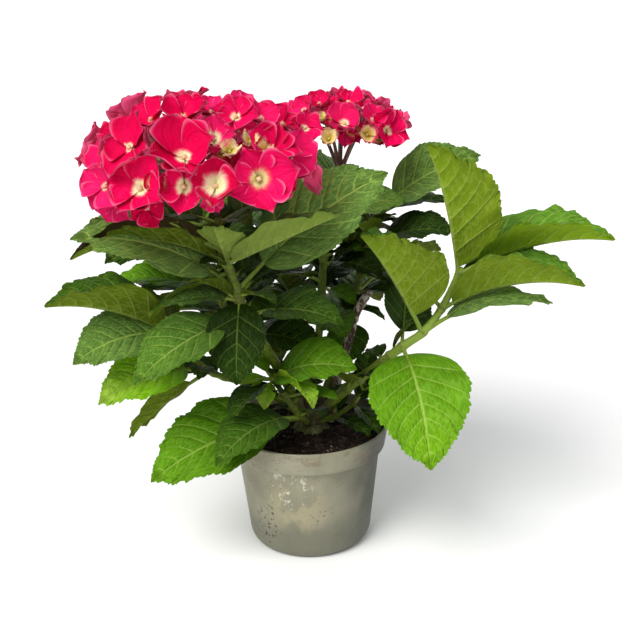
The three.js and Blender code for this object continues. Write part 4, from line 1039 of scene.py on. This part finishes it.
def vein_group():
    """Leaf veins: the midrib near q = 0, side veins at whole numbers of the first coordinate,
    thinner outwards, and the net between them from the edges of a Voronoi pattern."""
    group, given, result = new_group(
        "Leaf veins", [("Place", "NodeSocketVector", None)],
        [("Ribs", "NodeSocketFloat"), ("Net", "NodeSocketFloat"), ("Panels", "NodeSocketFloat")],
    )
    parts = node(group, "ShaderNodeSeparateXYZ", {0: given.outputs["Place"]})
    across = sums(group, "ABSOLUTE", parts.outputs[1])
    midrib = stepped(group, across, 0.05, 0.012)
    wander = sums(group, "MULTIPLY_ADD", mottle(group, given.outputs["Place"], 3.0, 2.0), 0.12, -0.06)
    beside = sums(group, "PINGPONG", sums(group, "ADD", parts.outputs[0], wander), 0.5)
    thin = sums(group, "MULTIPLY_ADD", across, -0.06, 0.10)
    side = sums(group, "SUBTRACT", 1.0, sums(group, "DIVIDE", beside, thin), held=True)
    side = times(group, side, stepped(group, across, 1.02, 0.8))
    group.links.new(sums(group, "MAXIMUM", midrib, times(group, side, 0.8)), result.inputs["Ribs"])
    mesh_place = node(group, "ShaderNodeCombineXYZ", {
        0: times(group, parts.outputs[0], 1.7), 1: times(group, across, 13.0),
        2: times(group, sums(group, "SIGN", parts.outputs[1]), 4.0),
    })
    from_edge = node(group, "ShaderNodeTexVoronoi", {
        "Vector": mesh_place.outputs[0], "Scale": 1.0,
    }, feature="DISTANCE_TO_EDGE").outputs["Distance"]
    group.links.new(stepped(group, from_edge, 0.12, 0.02), result.inputs["Net"])
    group.links.new(stepped(group, from_edge, 0.0, 0.35), result.inputs["Panels"])
    return group


LEAF_VEINS = vein_group()


def leaf_finish(upper):
    """Upper side: deep to yellow-green by the leaf's shade, in part painted shade, greyed on some
    leaves by a painted sheen, paler along the veins, satin. Under side: olive, the veins raised
    and paler, dull."""
    name, specular = ("leaf_upper", 0.06) if upper else ("leaf_underside", 0.04)
    finish, tree, shader = new_finish(name, 0.4, specular)
    leaf_mark = node(tree, "ShaderNodeAttribute", attribute_name="leaf").outputs["Vector"]
    along_it = node(tree, "ShaderNodeSeparateXYZ", {0: leaf_mark})
    tint = mark_of(tree, "tint")
    burn = mark_of(tree, "burnt")[0]
    place = own_place(tree)
    veins = node(tree, "ShaderNodeGroup", {"Place": leaf_mark}, node_tree=LEAF_VEINS)
    broad, fine = mottle(tree, place, 45, 4.0), mottle(tree, place, 330, 3.0)
    patch = sums(tree, "MULTIPLY_ADD", broad, 0.26, -0.13)
    # the blade turns yellower towards its point, and darker in the middle of each panel
    patch = sums(tree, "ADD", patch, sums(tree, "MULTIPLY_ADD", along_it.outputs[2], 0.24, -0.13))
    patch = sums(tree, "ADD", patch, times(tree, veins.outputs["Panels"], -0.06))
    if upper:
        shade = sums(tree, "ADD", tint[0], patch)
        colour = shades(tree, shade, [
            (0.0, (0.010, 0.028, 0.002)), (0.2, (0.024, 0.066, 0.003)), (0.45, (0.056, 0.152, 0.004)),
            (0.72, (0.120, 0.300, 0.006)), (0.9, (0.200, 0.440, 0.008)), (1.0, (0.33, 0.53, 0.050)),
        ])
        # painted sheen: the sky's grey-green reflection laid into the colour of the glossier leaves
        colour = mixed(tree, times(tree, tint[2], 0.6), colour, (0.115, 0.185, 0.065))
        seen = sums(tree, "MULTIPLY_ADD", tint[2], 0.22, sums(tree, "MULTIPLY_ADD", tint[0], 0.5, 0.16))
        pale = mixed(tree, seen, colour, (0.50, 0.68, 0.14))
        net = times(tree, veins.outputs["Net"], sums(tree, "MULTIPLY_ADD", tint[2], 0.16, 0.12))
        colour = mixed(tree, net, colour, pale)
        colour = washed(tree, colour, veins.outputs["Ribs"], 0.9, pale)
        burnt = times(tree, burn, stepped(tree, broad, 0.30, 0.45))
        colour = washed(tree, colour, burnt, 0.92, (0.020, 0.012, 0.005))
        sunk = sums(tree, "MULTIPLY_ADD", veins.outputs["Ribs"], -0.7, 0.7)
        height = sums(tree, "MULTIPLY_ADD", veins.outputs["Panels"], 0.8, sunk)
        rough = sums(tree, "MULTIPLY_ADD", fine, 0.16, 0.34)
    else:
        shade = sums(tree, "ADD", tint[1], patch)
        colour = shades(tree, shade, [
            (0.0, (0.040, 0.062, 0.004)), (0.3, (0.095, 0.142, 0.006)),
            (0.6, (0.18, 0.27, 0.012)), (1.0, (0.26, 0.44, 0.010)),
        ])
        colour = washed(tree, colour, stepped(tree, tint[2], 0.35, 0.85), 0.4, (0.25, 0.30, 0.115))
        pale = mixed(tree, 0.5, colour, (0.46, 0.56, 0.14))
        colour = washed(tree, colour, veins.outputs["Net"], 0.3, pale)
        colour = washed(tree, colour, veins.outputs["Ribs"], 0.95, pale)
        # the quilting shades each panel: darker beside one vein, lighter beside the next
        colour = washed(tree, colour, sums(tree, "FRACT", along_it.outputs[0]), 0.16, (0.05, 0.08, 0.003))
        off_rib = sums(tree, "ABSOLUTE", along_it.outputs[1])
        scorch = sums(tree, "ADD", off_rib, sums(tree, "MULTIPLY_ADD", broad, 0.9, -0.45))
        burnt = times(tree, burn, stepped(tree, scorch, 0.50, 0.62))
        colour = washed(tree, colour, burnt, 0.95, (0.030, 0.016, 0.008))
        height = sums(tree, "MULTIPLY_ADD", veins.outputs["Net"], 0.5, veins.outputs["Ribs"])
        rough = sums(tree, "MULTIPLY_ADD", fine, 0.12, 0.55)
    tree.links.new(colour, shader.inputs["Base Color"])
    tree.links.new(rough, shader.inputs["Roughness"])
    relieved(tree, shader, sums(tree, "MULTIPLY_ADD", fine, 0.15, height), 0.0005)
    return finish


leaf_finishes = [leaf_finish(True), leaf_finish(False)]
leaf_rng = np.random.default_rng(LEAF_SEED)
for shoot_name, leaves in LEAVES.items():
    blades = [blade(leaf, leaf_rng) for leaf in leaves]
    points, quads, tris, marks = joined(blades)
    flat, side_of = flat_cells(blades)
    foliage = surface(f"foliage_{shoot_name}", points, quads, tris, leaf_finishes, side_of, marks, flat)
    stands_for(foliage, "leaf", f"leaves_{shoot_name}")


# The blooms are two mopheads: domes of florets, each four broad crimson sepals round a small
# cream bead, on thin pedicels that branch from the rays of a purple-brown stalk. The front
# one is fully open; the middles of some florets are still cream and green.
# A floret that shows has a row, worked out outside this file from places picked by eye, some
# of them then changed by hand: middle, bearing and rise of its face, radius, turn of its first
# sepal, cup, eye size and how young and cream it still is. The rest stand in layers: count,
# radius, distance apart, lowest and depth.
BLOOMS = {
    "bloom_left": dict(
        shoot="left_flower", middle=(-70, -64, 324), spread=(73, 60, 41), hub=(-65, -56, 303), rays=6,
        florets=[
            (-74, -121, 340, -89, 46, 28, -76, 0.66, 0.72, 0),
            (-103, -120, 321, -111, 25, 25, -23, 0.42, 0.85, 0),
            (-54, -130, 323, -88, 34, 20, -94, 0.52, 1.55, 0),
            (-27, -118, 325, -80, 12, 25, 108, 0.28, 0.8, 0.12),
            (-55, -111, 350, -89, 32, 18, -87, 0.45, 1.15, 0),
            (-45, -120, 343, -76, 48, 9, -155, 0.8, 1.2, 1),
            (-32, -105, 346, -79, 52, 9, -91, 0.75, 1.1, 0.6),
            (-24, -107, 340, -68, 35, 10, -133, 0.7, 1.1, 0.5),
            (-18, -100, 339, -66, 41, 20, -117, 0.55, 0.6, 0),
            (-42, -84, 359, -87, 46, 19, -104, 0.5, 0.7, 0),
            (-110, -107, 345, -126, 34, 23, -8, 0.4, 0.5, 0),
            (-129, -92, 339, -157, 24, 18, -33, 0.35, 0.5, 0),
            (-129, -100, 319, -124, 11, 20, 57, 0.35, 0.5, 0),
            (-76, -91, 361, -88, 56, 20, -84, 0.55, 0.4, 0),
            (-98, -85, 359, -119, 55, 18, -28, 0.5, 0.4, 0),
            (-26, -73, 356, -68, 51, 15, -91, 0.5, 0.5, 0), (3, -55, 346, -53, 32, 15, -22, 0.45, 0.7, 0),
            (-7, -90, 334, -55, 15, 21, 147, 0.35, 0.4, 0),
            (-75, -121, 322, -92, 12, 22, 84, 0.34, 0.95, 0.05),
            (-125, -93, 306, -108, -8, 18, 58, 0.28, 0.4, 0),
            (-92, -121, 324, -96, 19, 10, -120, 0.6, 1.3, 0.45),
            (-62, -114, 342, -90, 31, 9, -141, 0.6, 1.2, 0.5),
            (-119, -82, 350, -134, 46, 14, -32, 0.45, 0.5, 0),
            (-58, -77, 362, -101, 63, 14, -67, 0.4, 0.5, 0),
            (-12, -52, 348, -51, 48, 15, -146, 0.4, 0.5, 0),
            (-13, -101, 320, -64, -4, 15, 152, 0.35, 0.5, 0),
            (-57, -119, 313, -85, -8, 10, 116, 0.4, 1.2, 0.25),
            (-39, -46, 361, -75, 63, 12, -104, 0.4, 0.5, 0),
            (-102, -109, 306, -88, -2, 15, 117, 0.35, 0.5, 0),
            (-51, -104, 340, -86, 24, 12, 31, 0.45, 0.6, 0.2),
        ],
        layers=[(90, 21, 0.46, -0.3, 1.0), (120, 17, 0.40, -0.35, 0.84), (60, 17, 0.5, -0.3, 0.66)],
    ),
    "bloom_rear": dict(
        shoot="rear_flower", middle=(34, 66, 328), spread=(45, 38, 19), hub=(31, 60, 288), rays=5,
        florets=[
            (34, 26, 334, -89, 43, 18, -62, 0.75, 0.8, 0),
            (22, 25, 323, -96, 34, 11, -98, 0.85, 1.6, 0.75),
            (17, 32, 337, -98, 49, 7, -77, 0.85, 1.4, 0.9), (4, 53, 341, -127, 43, 14, -38, 0.6, 0.6, 0),
            (16, 56, 345, -99, 56, 13, -76, 0.6, 0.5, 0), (38, 52, 346, -82, 59, 13, -105, 0.6, 0.5, 0),
            (56, 35, 335, -69, 44, 14, -88, 0.6, 0.6, 0), (51, 28, 325, -78, 21, 11, -35, 0.7, 1.5, 0.5),
            (67, 38, 326, -61, 19, 19, -124, 0.5, 0.7, 0), (71, 49, 334, -49, 45, 11, -147, 0.5, 0.6, 0),
            (49, 45, 342, -69, 62, 9, -103, 0.6, 0.5, 0), (60, 38, 321, -73, 6, 9, 116, 0.6, 1.3, 0.4),
            (26, 40, 335, -92, 36, 12, 15, 0.5, 0.6, 0.15),
            (40, 38, 327, -84, 16, 12, -60, 0.5, 0.8, 0.3),
        ],
        layers=[(70, 12.5, 0.48, -0.35, 0.97), (60, 11, 0.55, -0.3, 0.8)],
    ),
}
SPIN, LEAN, STALK_SUNK = 1.07, (0, 0, 0.25), 1.5
FIRST_RAY, RAY_REACH, ABOVE_HUB, STALK_BEND = 0.4, 0.45, 0.3, 0.4
PEDUNCLE_RADIUS = 2.6
SEPAL_ROWS, SEPAL_THICKNESS, SEPAL_CLAW = 13, 0.45, 0.62
SEPAL_HALF = np.array([0, 0.26, 0.5, 0.72, 0.9, 1.0])
BUD_RINGS, BUD_SIDES = 6, 8
RAY_RINGS, PEDUNCLE_RINGS = 9, 22


def floret_places(bloom):
    """Florets of a dome: those set one by one, then in each layer a spiral of equal steps in
    height and turns of the golden angle, each skipped where one stands within its distance."""
    rng = np.random.default_rng(len(bloom["florets"]))
    middle, spread = np.array(bloom["middle"], float), np.array(bloom["spread"], float)
    florets, taken = [], []
    for x, y, z, bearing, rise, radius, spin, cup, eye, young in bloom["florets"]:
        b, e = np.radians([bearing, rise])
        face = np.array([np.cos(e) * np.cos(b), np.cos(e) * np.sin(b), np.sin(e)])
        florets.append(dict(
            centre=np.array([x, y, z], float), face=face, radius=radius, spin=np.radians(spin),
            cup=cup, eye=eye, young=young, tone=rng.uniform(0.1, 0.9),
        ))
        taken.append(unit((florets[-1]["centre"] - middle) / spread))
    for count, radius, apart, lowest, depth in bloom["layers"]:
        for i in range(count):
            z = 1 - (i + 0.5) / count * (1 - lowest)
            turn = i * np.pi * (3 - math.sqrt(5)) + depth
            face = np.array([math.sqrt(1 - z * z) * np.cos(turn), math.sqrt(1 - z * z) * np.sin(turn), z])
            if all(np.linalg.norm(face - other) > apart for other in taken):
                taken.append(face)
                florets.append(dict(
                    centre=middle + depth * face * spread,
                    face=unit(face + LEAN + rng.uniform(-0.15, 0.15, 3)),
                    radius=radius * rng.uniform(0.82, 1.1), spin=len(florets) * SPIN,
                    cup=rng.uniform(0.3, 0.6), eye=rng.uniform(0.3, 0.8), young=0.0, tone=rng.uniform(0, 1),
                ))
        taken = taken if depth == 1.0 else []
    return florets


def sepal(floret, k, rng):
    """One sepal as a thin closed shell on a grid of t, from the claw to the tip, and q across.
    Its half width goes with t^0.62 (1 - t)^p, a broad rhombus, the more pointed the greater p.
    Its slope grows along it by the floret's cup and falls off again near the tip; its halves
    fold up and its edges lift with q^2 and wave."""
    r = floret["radius"] * rng.uniform(0.88, 1.1) * (1.05 if k % 2 else 1.0)
    even = np.linspace(0, 1, SEPAL_ROWS + 1)
    slope = floret["cup"] * (0.5 + 1.05 * even) + rng.uniform(-0.22, 0.22) * even
    slope -= rng.uniform(0.3, 2.2) * np.clip(even - 0.62, 0, 1)
    step = np.diff(even, prepend=0) * r
    ahead, above = np.cumsum(np.cos(slope) * step), np.cumsum(np.sin(slope) * step)
    t = even[1:-1, None]
    q = np.concatenate([-SEPAL_HALF[:0:-1], SEPAL_HALF])[None]
    point = rng.uniform(0.9, 1.4)
    widest = SEPAL_CLAW / (SEPAL_CLAW + point)
    shape = t**SEPAL_CLAW * (1 - t) ** point / (widest**SEPAL_CLAW * (1 - widest) ** point)
    half = 0.5 * rng.uniform(1.08, 1.36) * r * shape
    face = floret["face"]
    flat_x = unit(np.cross(face, [0.0, 0.0, 1.0]) if abs(face[2]) < 0.97 else np.array([1.0, 0, 0]))
    flat_y = np.cross(face, flat_x)
    turn = floret["spin"] + k * np.pi / 2 + rng.uniform(-0.14, 0.14)
    out = flat_x * np.cos(turn) + flat_y * np.sin(turn)
    side = np.cross(face, out)
    phase = rng.uniform(0, 2 * np.pi, 3)
    lift = (
        (0.12 + 0.25 * floret["cup"]) * half * q**2 + rng.uniform(-0.22, 0.22) * q * half
        + rng.uniform(0.05, 0.6) ** 1.3 * half * abs(q)
        + 0.075 * r * np.sin(2 * np.pi * 1.5 * t + phase[0] + 1.5 * q) * abs(q) ** 1.5
        + 0.03 * r * np.sin(6 * q + phase[1]) * t + 0.014 * r * np.sin(12 * q + phase[2])
        + rng.uniform(0, 0.1) * r * abs(q) * t
    )
    level = SEPAL_THICKNESS if k % 2 else -SEPAL_THICKNESS
    top = floret["centre"] + out * (ahead[1:-1, None] - 0.10 * r * t * q**2)[..., None]
    top = top + side * (q * half)[..., None] + face * (above[1:-1, None] + lift + level)[..., None]
    under = (top - face * SEPAL_THICKNESS)[:, 1:-1]
    base = floret["centre"] + face * level
    tip = floret["centre"] + out * ahead[-1] + face * (above[-1] + level - 0.2)
    points, quads, tris = thin_shell(top, under, base, tip, turned=True)
    t_all, q_all = on_shell(t, top, 0, 1), on_shell(q, top, 0, 0)
    wide = np.interp(t_all, t[:, 0], half[:, 0]) / r
    return {
        "points": points, "quads": quads, "tris": tris,
        "marks": {
            "sepal": np.stack([np.hypot(t_all, q_all * wide), q_all, t_all], 1),
            "floret": np.broadcast_to([floret["eye"], floret["young"], floret["tone"]], (len(points), 3)),
        },
        "place": np.stack([q_all, t_all], 1),
    }


def bead(floret):
    """A closed bud on its floret: a ball on a grid of turn and height, pinched in four creases,
    the larger the greater the floret and its eye."""
    face = floret["face"]
    centre = floret["centre"] + face * 0.9
    radius = 0.55 + 0.25 * min(floret["eye"], 1) + 0.045 * floret["radius"]
    rise = np.linspace(-1.2, 1.35, BUD_RINGS)[:, None]
    turn = np.linspace(0, 2 * np.pi, BUD_SIDES + 1)[:-1]
    flat_x = unit(np.cross(face, [0.31, 0.2, 0.9]))
    flat_y = np.cross(face, flat_x)
    r = radius * (1 + 0.14 * np.cos(4 * turn)) * np.cos(rise)
    ring = centre + flat_x * (r * np.cos(turn))[..., None] + flat_y * (r * np.sin(turn))[..., None] + (
        face * (radius * (np.sin(rise) + 0.6) + 0 * turn)[..., None])
    ends = [centre - face * 0.4 * radius, centre + face * 1.65 * radius]
    points = np.concatenate([ring.reshape(-1, 3), ends])
    return {
        "points": points, "quads": grid_quads(BUD_RINGS, BUD_SIDES, 0, True),
        "tris": end_fans(BUD_RINGS, BUD_SIDES),
        "marks": {"bud": np.broadcast_to([floret["young"], 0, 0], points.shape)},
    }


def stalks(bloom, florets):
    """The flower stalk on from its shoot's tip, bent to the hub, rays to points on a ring in the
    dome, and a thin bowed pedicel from the nearest ray's end to every floret."""
    way = SHOOTS[bloom["shoot"]]["way"]
    last = len(way) - 1.0
    end = along(way, last)
    run = unit(along(way, last) - along(way, last - 0.01))
    hub, middle, spread = (np.array(bloom[key], float) for key in ("hub", "middle", "spread"))
    bend = end + run * STALK_BEND * np.linalg.norm(hub - end)
    path = along([end, bend, hub, hub + ABOVE_HUB * (middle - hub)], np.linspace(0, 3, PEDUNCLE_RINGS))
    parts = [limb(path, np.linspace(PEDUNCLE_RADIUS, 2.2, PEDUNCLE_RINGS), 12, 0.5, 0.0, 0.08, 1)]
    turn = 2 * np.pi * np.arange(bloom["rays"]) / bloom["rays"] + FIRST_RAY
    tips = middle + RAY_REACH * spread * np.stack([np.cos(turn), np.sin(turn), 0 * turn], 1)
    tips = np.vstack([tips, middle + [0, 0, ABOVE_HUB * spread[2]]])
    share = np.linspace(0, 1, RAY_RINGS)[:, None]
    for i, tip in enumerate(tips):
        path = hub + share * (tip - hub) + [0, 0, 3] * np.sin(np.pi * share)
        parts.append(limb(path, np.linspace(1.7, 1.15, RAY_RINGS), 8, 0.45, 0.0, 0.05, i + 2))
    for i, floret in enumerate(florets):
        ray = tips[np.argmin(np.linalg.norm(tips - floret["centre"], axis=1))]
        out = unit(floret["centre"] - ray)
        foot, head = ray - out * STALK_SUNK, floret["centre"] - floret["face"] * 0.4
        path = foot + share * (head - foot) - floret["face"] * 2.5 * np.sin(np.pi * share)
        parts.append(limb(path, np.linspace(0.95, 0.6, RAY_RINGS), 5, 0.2, 0.3, 0.0, i))
    return joined(parts)


def sepal_finish(upper):
    """Crimson-pink, cream to pale pink at the claw by the floret's own eye, streaked along its
    veins, thin and paler at its very edge, satin; the backs are paler and pinker."""
    finish, tree, shader = new_finish("sepal_face" if upper else "sepal_back", 0.5, 0.05)
    mark = node(tree, "ShaderNodeAttribute", attribute_name="sepal").outputs["Vector"]
    parts = node(tree, "ShaderNodeSeparateXYZ", {0: mark})
    floret = mark_of(tree, "floret")
    place = own_place(tree)
    streaks = node(tree, "ShaderNodeCombineXYZ", {
        0: times(tree, parts.outputs[2], 1.6), 1: times(tree, parts.outputs[1], 9.0),
        2: times(tree, floret[2], 50.0),
    })
    streak = mottle(tree, streaks.outputs[0], 1.0, 4.0, 0.6)
    far = sums(tree, "ADD", parts.outputs[0], sums(tree, "MULTIPLY_ADD", streak, 0.14, -0.07))
    far = sums(tree, "DIVIDE", far, floret[0])
    rose = shades(tree, sums(tree, "MULTIPLY_ADD", streak, 0.5, times(tree, floret[2], 0.5)), [
        (0.2, (0.54, 0.0002, 0.036)), (0.5, (0.82, 0.0010, 0.090)), (0.8, (0.92, 0.026, 0.210)),
    ])
    edge = sums(tree, "MAXIMUM", sums(tree, "ABSOLUTE", parts.outputs[1]), parts.outputs[2])
    edge = stepped(tree, edge, 0.85, 1.0)
    rose = mixed(tree, times(tree, edge, 0.65), rose, (0.90, 0.20, 0.38))
    if not upper:
        rose = mixed(tree, 0.45, rose, (0.84, 0.16, 0.32))
    halo = shades(tree, far, [
        (0.0, (0.80, 0.74, 0.22)), (0.08, (0.99, 0.98, 0.52)), (0.2, (0.99, 0.93, 0.56)),
        (0.28, (0.97, 0.50, 0.46)), (0.35, (0.94, 0.14, 0.26)),
    ])
    colour = mixed(tree, stepped(tree, far, 0.20, 0.36), halo, rose)
    green = shades(tree, parts.outputs[0], [
        (0.06, (0.36, 0.27, 0.03)), (0.28, (0.80, 0.58, 0.12)), (0.55, (0.95, 0.83, 0.42)),
        (0.95, (0.92, 0.50, 0.42)),
    ])
    still = sums(tree, "SUBTRACT", times(tree, floret[1], 1.25), sums(
        tree, "ADD", parts.outputs[0], sums(tree, "MULTIPLY_ADD", streak, 0.2, -0.1)))
    colour = mixed(tree, stepped(tree, still, -0.2, 0.14), colour, green)
    tree.links.new(colour, shader.inputs["Base Color"])
    rough = sums(tree, "MULTIPLY_ADD", mottle(tree, place, 200), 0.2, 0.42)
    tree.links.new(rough, shader.inputs["Roughness"])
    relieved(tree, shader, sums(tree, "ADD", streak, times(tree, mottle(tree, place, 150), 0.8)), 0.0011)
    return finish


def bead_finish():
    """Cream to yellow-green buds."""
    finish, tree, shader = new_finish("flower_bud", 0.45, 0.35)
    place = own_place(tree)
    bud = mark_of(tree, "bud")
    cream = shades(tree, mottle(tree, place, 300, 3.0), [
        (0.35, (0.66, 0.46, 0.26)), (0.65, (0.92, 0.68, 0.48)),
    ])
    tree.links.new(mixed(tree, bud[0], cream, (0.42, 0.52, 0.10)), shader.inputs["Base Color"])
    relieved(tree, shader, mottle(tree, place, 600), 0.0003)
    return finish


def ray_finish():
    """Purple-brown flower stalk and rays, greener along the pedicels."""
    finish, tree, shader = new_finish("flower_stalk", 0.5, 0.35)
    place = own_place(tree)
    shade = mark_of(tree, "shade")
    brown = shades(tree, mottle(tree, place, 120, 4.0), [
        (0.35, (0.055, 0.022, 0.018)), (0.65, (0.17, 0.075, 0.05)),
    ])
    colour = mixed(tree, shade[0], brown, (0.62, 0.16, 0.16))
    tree.links.new(colour, shader.inputs["Base Color"])
    relieved(tree, shader, mottle(tree, place, 500), 0.0003)
    return finish


sepal_finishes = [sepal_finish(True), sepal_finish(False)]
bud_finish, stalk_finish = bead_finish(), ray_finish()
for bloom_name, bloom in BLOOMS.items():
    sepal_rng = np.random.default_rng(len(bloom_name))
    florets = floret_places(bloom)
    sepals = [sepal(floret, k, sepal_rng) for floret in florets for k in range(4)]
    points, quads, tris, marks = joined(sepals)
    flat, side_of = flat_cells(sepals)
    head = surface(f"{bloom_name}_sepals", points, quads, tris, sepal_finishes, side_of, marks, flat)
    stands_for(head, "sepal", bloom_name)
    for kind, parts, finish in (
        ("buds", joined([bead(floret) for floret in florets]), bud_finish),
        ("stalks", stalks(bloom, florets), stalk_finish),
    ):
        points, quads, tris, marks = parts
        stands_for(surface(f"{bloom_name}_{kind}", points, quads, tris, [finish], marks=marks), "sepal")


# The crown is the old knuckle of wood that every shoot springs from, half sunk in the
# compost: brown, ridged, and flared at its foot. Beside it stands last year's dead twig, cut
# square, its bark dark and flaking with whitish patches.
CROWN_HEIGHT, CROWN_CENTRE = 17.0, (2.0, 4.0)
CROWN_RINGS = [(-0.1, 16.5), (0, 15), (0.16, 12), (0.45, 9.5), (0.78, 10.3), (0.95, 8.4), (1, 5.9)]
TWIG_WAY = [(18, 16, 91.6), (18.6, 16.2, 101), (25, 18, 128), (35, 18, 164), (42, 18, 186), (52, 19, 202)]
TWIG_RADII = (3.8, 3.2)
CROWN_LEVELS, CROWN_SIDES, TWIG_RINGS, TWIG_SIDES = 22, 36, 130, 22


def wood_finish(name, dark, mid, pale, patches):
    """Bark in lengthwise plates: brown, with pale bared patches where the plates have gone."""
    finish, tree, shader = new_finish(name, 0.85, 0.25)
    place = own_place(tree)
    plates = mottle(tree, place, 150, 6.0, 0.75, (1, 1, 0.4))
    colour = shades(tree, plates, [(0.36, dark), (0.52, mid), (0.68, pale)])
    bare = stepped(tree, mottle(tree, place, 170, 4.0, 0.65, (1, 1, 0.5)), 0.62 - patches, 0.67 - patches)
    colour = washed(tree, colour, bare, 0.85, (0.60, 0.54, 0.44))
    tree.links.new(colour, shader.inputs["Base Color"])
    ridges = mottle(tree, place, 160, 6.0, 0.75, (1, 1, 0.35))
    relieved(tree, shader, sums(tree, "ADD", ridges, bare), 0.0014)
    return finish


def crown_surface():
    """A ring of radii by height, carried round the axis and pushed out by ridges and lumps."""
    levels, radii = (np.array(values, float) for values in zip(*CROWN_RINGS))
    level = np.linspace(levels[0], 1, CROWN_LEVELS)[:, None]
    turn = np.linspace(0, 2 * np.pi, CROWN_SIDES, endpoint=False)
    radius = np.interp(level, levels, radii) * (1 + 0.07 * np.cos(5 * turn + 4 * level))
    x, y = CROWN_CENTRE[0] + radius * np.cos(turn), CROWN_CENTRE[1] + radius * np.sin(turn)
    ring = np.stack([x, y, SOIL_LEVEL + 0.3 + CROWN_HEIGHT * level + 0 * turn], -1)
    out = np.stack([np.cos(turn), np.sin(turn), 0 * turn], -1)
    ring = ring + out * (0.7 * ripple(ring, 7, 21) + 0.35 * ripple(ring, 2.6, 22, 14))[..., None]
    ends = [ring[0].mean(0), ring[-1].mean(0) + [0, 0, 0.4]]
    points = np.concatenate([ring.reshape(-1, 3), ends])
    return points, grid_quads(CROWN_LEVELS, CROWN_SIDES, 0, True), end_fans(CROWN_LEVELS, CROWN_SIDES)


crown = surface("root_knuckle", *crown_surface(), [wood_finish(
    "crown_bark", (0.035, 0.032, 0.012), (0.10, 0.105, 0.036), (0.24, 0.24, 0.10), -0.03)])
stands_for(crown, "wood", "root_crown")


def twig_surface():
    """A limb along the twig's way, its girth swelling a little, pushed out or in by flakes."""
    u = np.linspace(0, len(TWIG_WAY) - 1, TWIG_RINGS)
    path = along(TWIG_WAY, u)
    bare = limb(path, np.linspace(*TWIG_RADII, TWIG_RINGS) * (1 + 0.05 * np.sin(5 * u)), TWIG_SIDES, 1.0)
    axis = np.concatenate([np.repeat(path, TWIG_SIDES, axis=0), path[[0, -1]]])
    flakes = 0.10 * np.tanh(4 * ripple(bare["points"] * [1, 1, 0.5], 5.0, 31, 14))
    flakes += 0.04 * ripple(bare["points"], 2.0, 32, 14)
    return axis + (bare["points"] - axis) * (1 + flakes)[:, None], bare["quads"], bare["tris"]


twig = surface("dead_twig", *twig_surface(), [wood_finish(
    "dead_bark", (0.040, 0.024, 0.014), (0.15, 0.090, 0.058), (0.42, 0.34, 0.24), 0.145)])
stands_for(twig, "dead_wood", "cut_twig")


# The stage: a plain white floor that runs up behind, one broad soft lamp high on the left, a
# weaker one on the right and a pale sky. The camera stands where the photograph's did.
CAMERA_TARGET, CAMERA_FAR, CAMERA_RISE, CAMERA_ROLL = np.array([4.8, 0.0, 193.0]), 900.0, 19.0, 1.5
CAMERA_FOCAL = 1150 / 622


def put(thing, right, up, back, place):
    """Stands a lamp or camera at `place`, in metres, with those directions for its own axes."""
    bpy.context.scene.collection.objects.link(thing)
    thing.matrix_world = [(*right, 0), (*up, 0), (*back, 0), (*place, 1)]  # column by column


def add_sun(name, towards, strength, width, colour):
    """A soft even light that falls from that direction, `width` radians wide."""
    data = bpy.data.lights.new(name, "SUN")
    data.energy, data.angle, data.color = strength, width, colour
    back = unit(np.array(towards, float))
    right = unit(np.cross([0, 0, 1.0], back))
    put(bpy.data.objects.new(name, data), right, np.cross(back, right), back, towards)


floor_finish, _, floor_shader = new_finish("pale_floor", 0.9, 0.1)
floor_shader.inputs["Base Color"].default_value = (0.92, 0.92, 0.915, 1)
sweep = np.array([(-3.0, 0.0), (1.4, 0.0), (1.9, 0.06), (2.2, 0.3), (2.35, 0.7), (2.4, 3.0)])
floor_points = np.array([(x, y, z) for y, z in sweep for x in (-4.0, 4.0)]) * 1000
floor = surface("floor", floor_points, grid_quads(len(sweep), 2), (), [floor_finish])

add_sun("key_light", (-0.62, -0.75, 1.1), 3.0, 0.7, (1.0, 0.99, 0.965))
add_sun("side_light", (1.0, -0.6, 0.5), 0.35, 0.9, (0.97, 0.985, 1.0))
world = bpy.data.worlds.new("pale_sky")
bpy.context.scene.world = world
world.use_nodes = True
world.node_tree.nodes["Background"].inputs[0].default_value = (0.93, 0.96, 1.0, 1)
world.node_tree.nodes["Background"].inputs[1].default_value = 0.45

rise, roll = np.radians([CAMERA_RISE, CAMERA_ROLL])
level_x, level_up = np.array([1.0, 0, 0]), np.array([0, np.sin(rise), np.cos(rise)])
back = np.array([0, -np.cos(rise), np.sin(rise)])
camera_right = np.cos(roll) * level_x - np.sin(roll) * level_up
camera_up = np.sin(roll) * level_x + np.cos(roll) * level_up
spot = (CAMERA_TARGET + CAMERA_FAR * back) * 0.001
camera_data = bpy.data.cameras.new("camera")
camera_data.sensor_width, camera_data.lens = 36.0, 36.0 * CAMERA_FOCAL
camera_data.clip_start, camera_data.clip_end = 0.01, 50
camera = bpy.data.objects.new("camera", camera_data)
put(camera, camera_right, camera_up, back, spot)
bpy.context.scene.camera = camera
bpy.context.scene.view_settings.view_transform = "Standard"
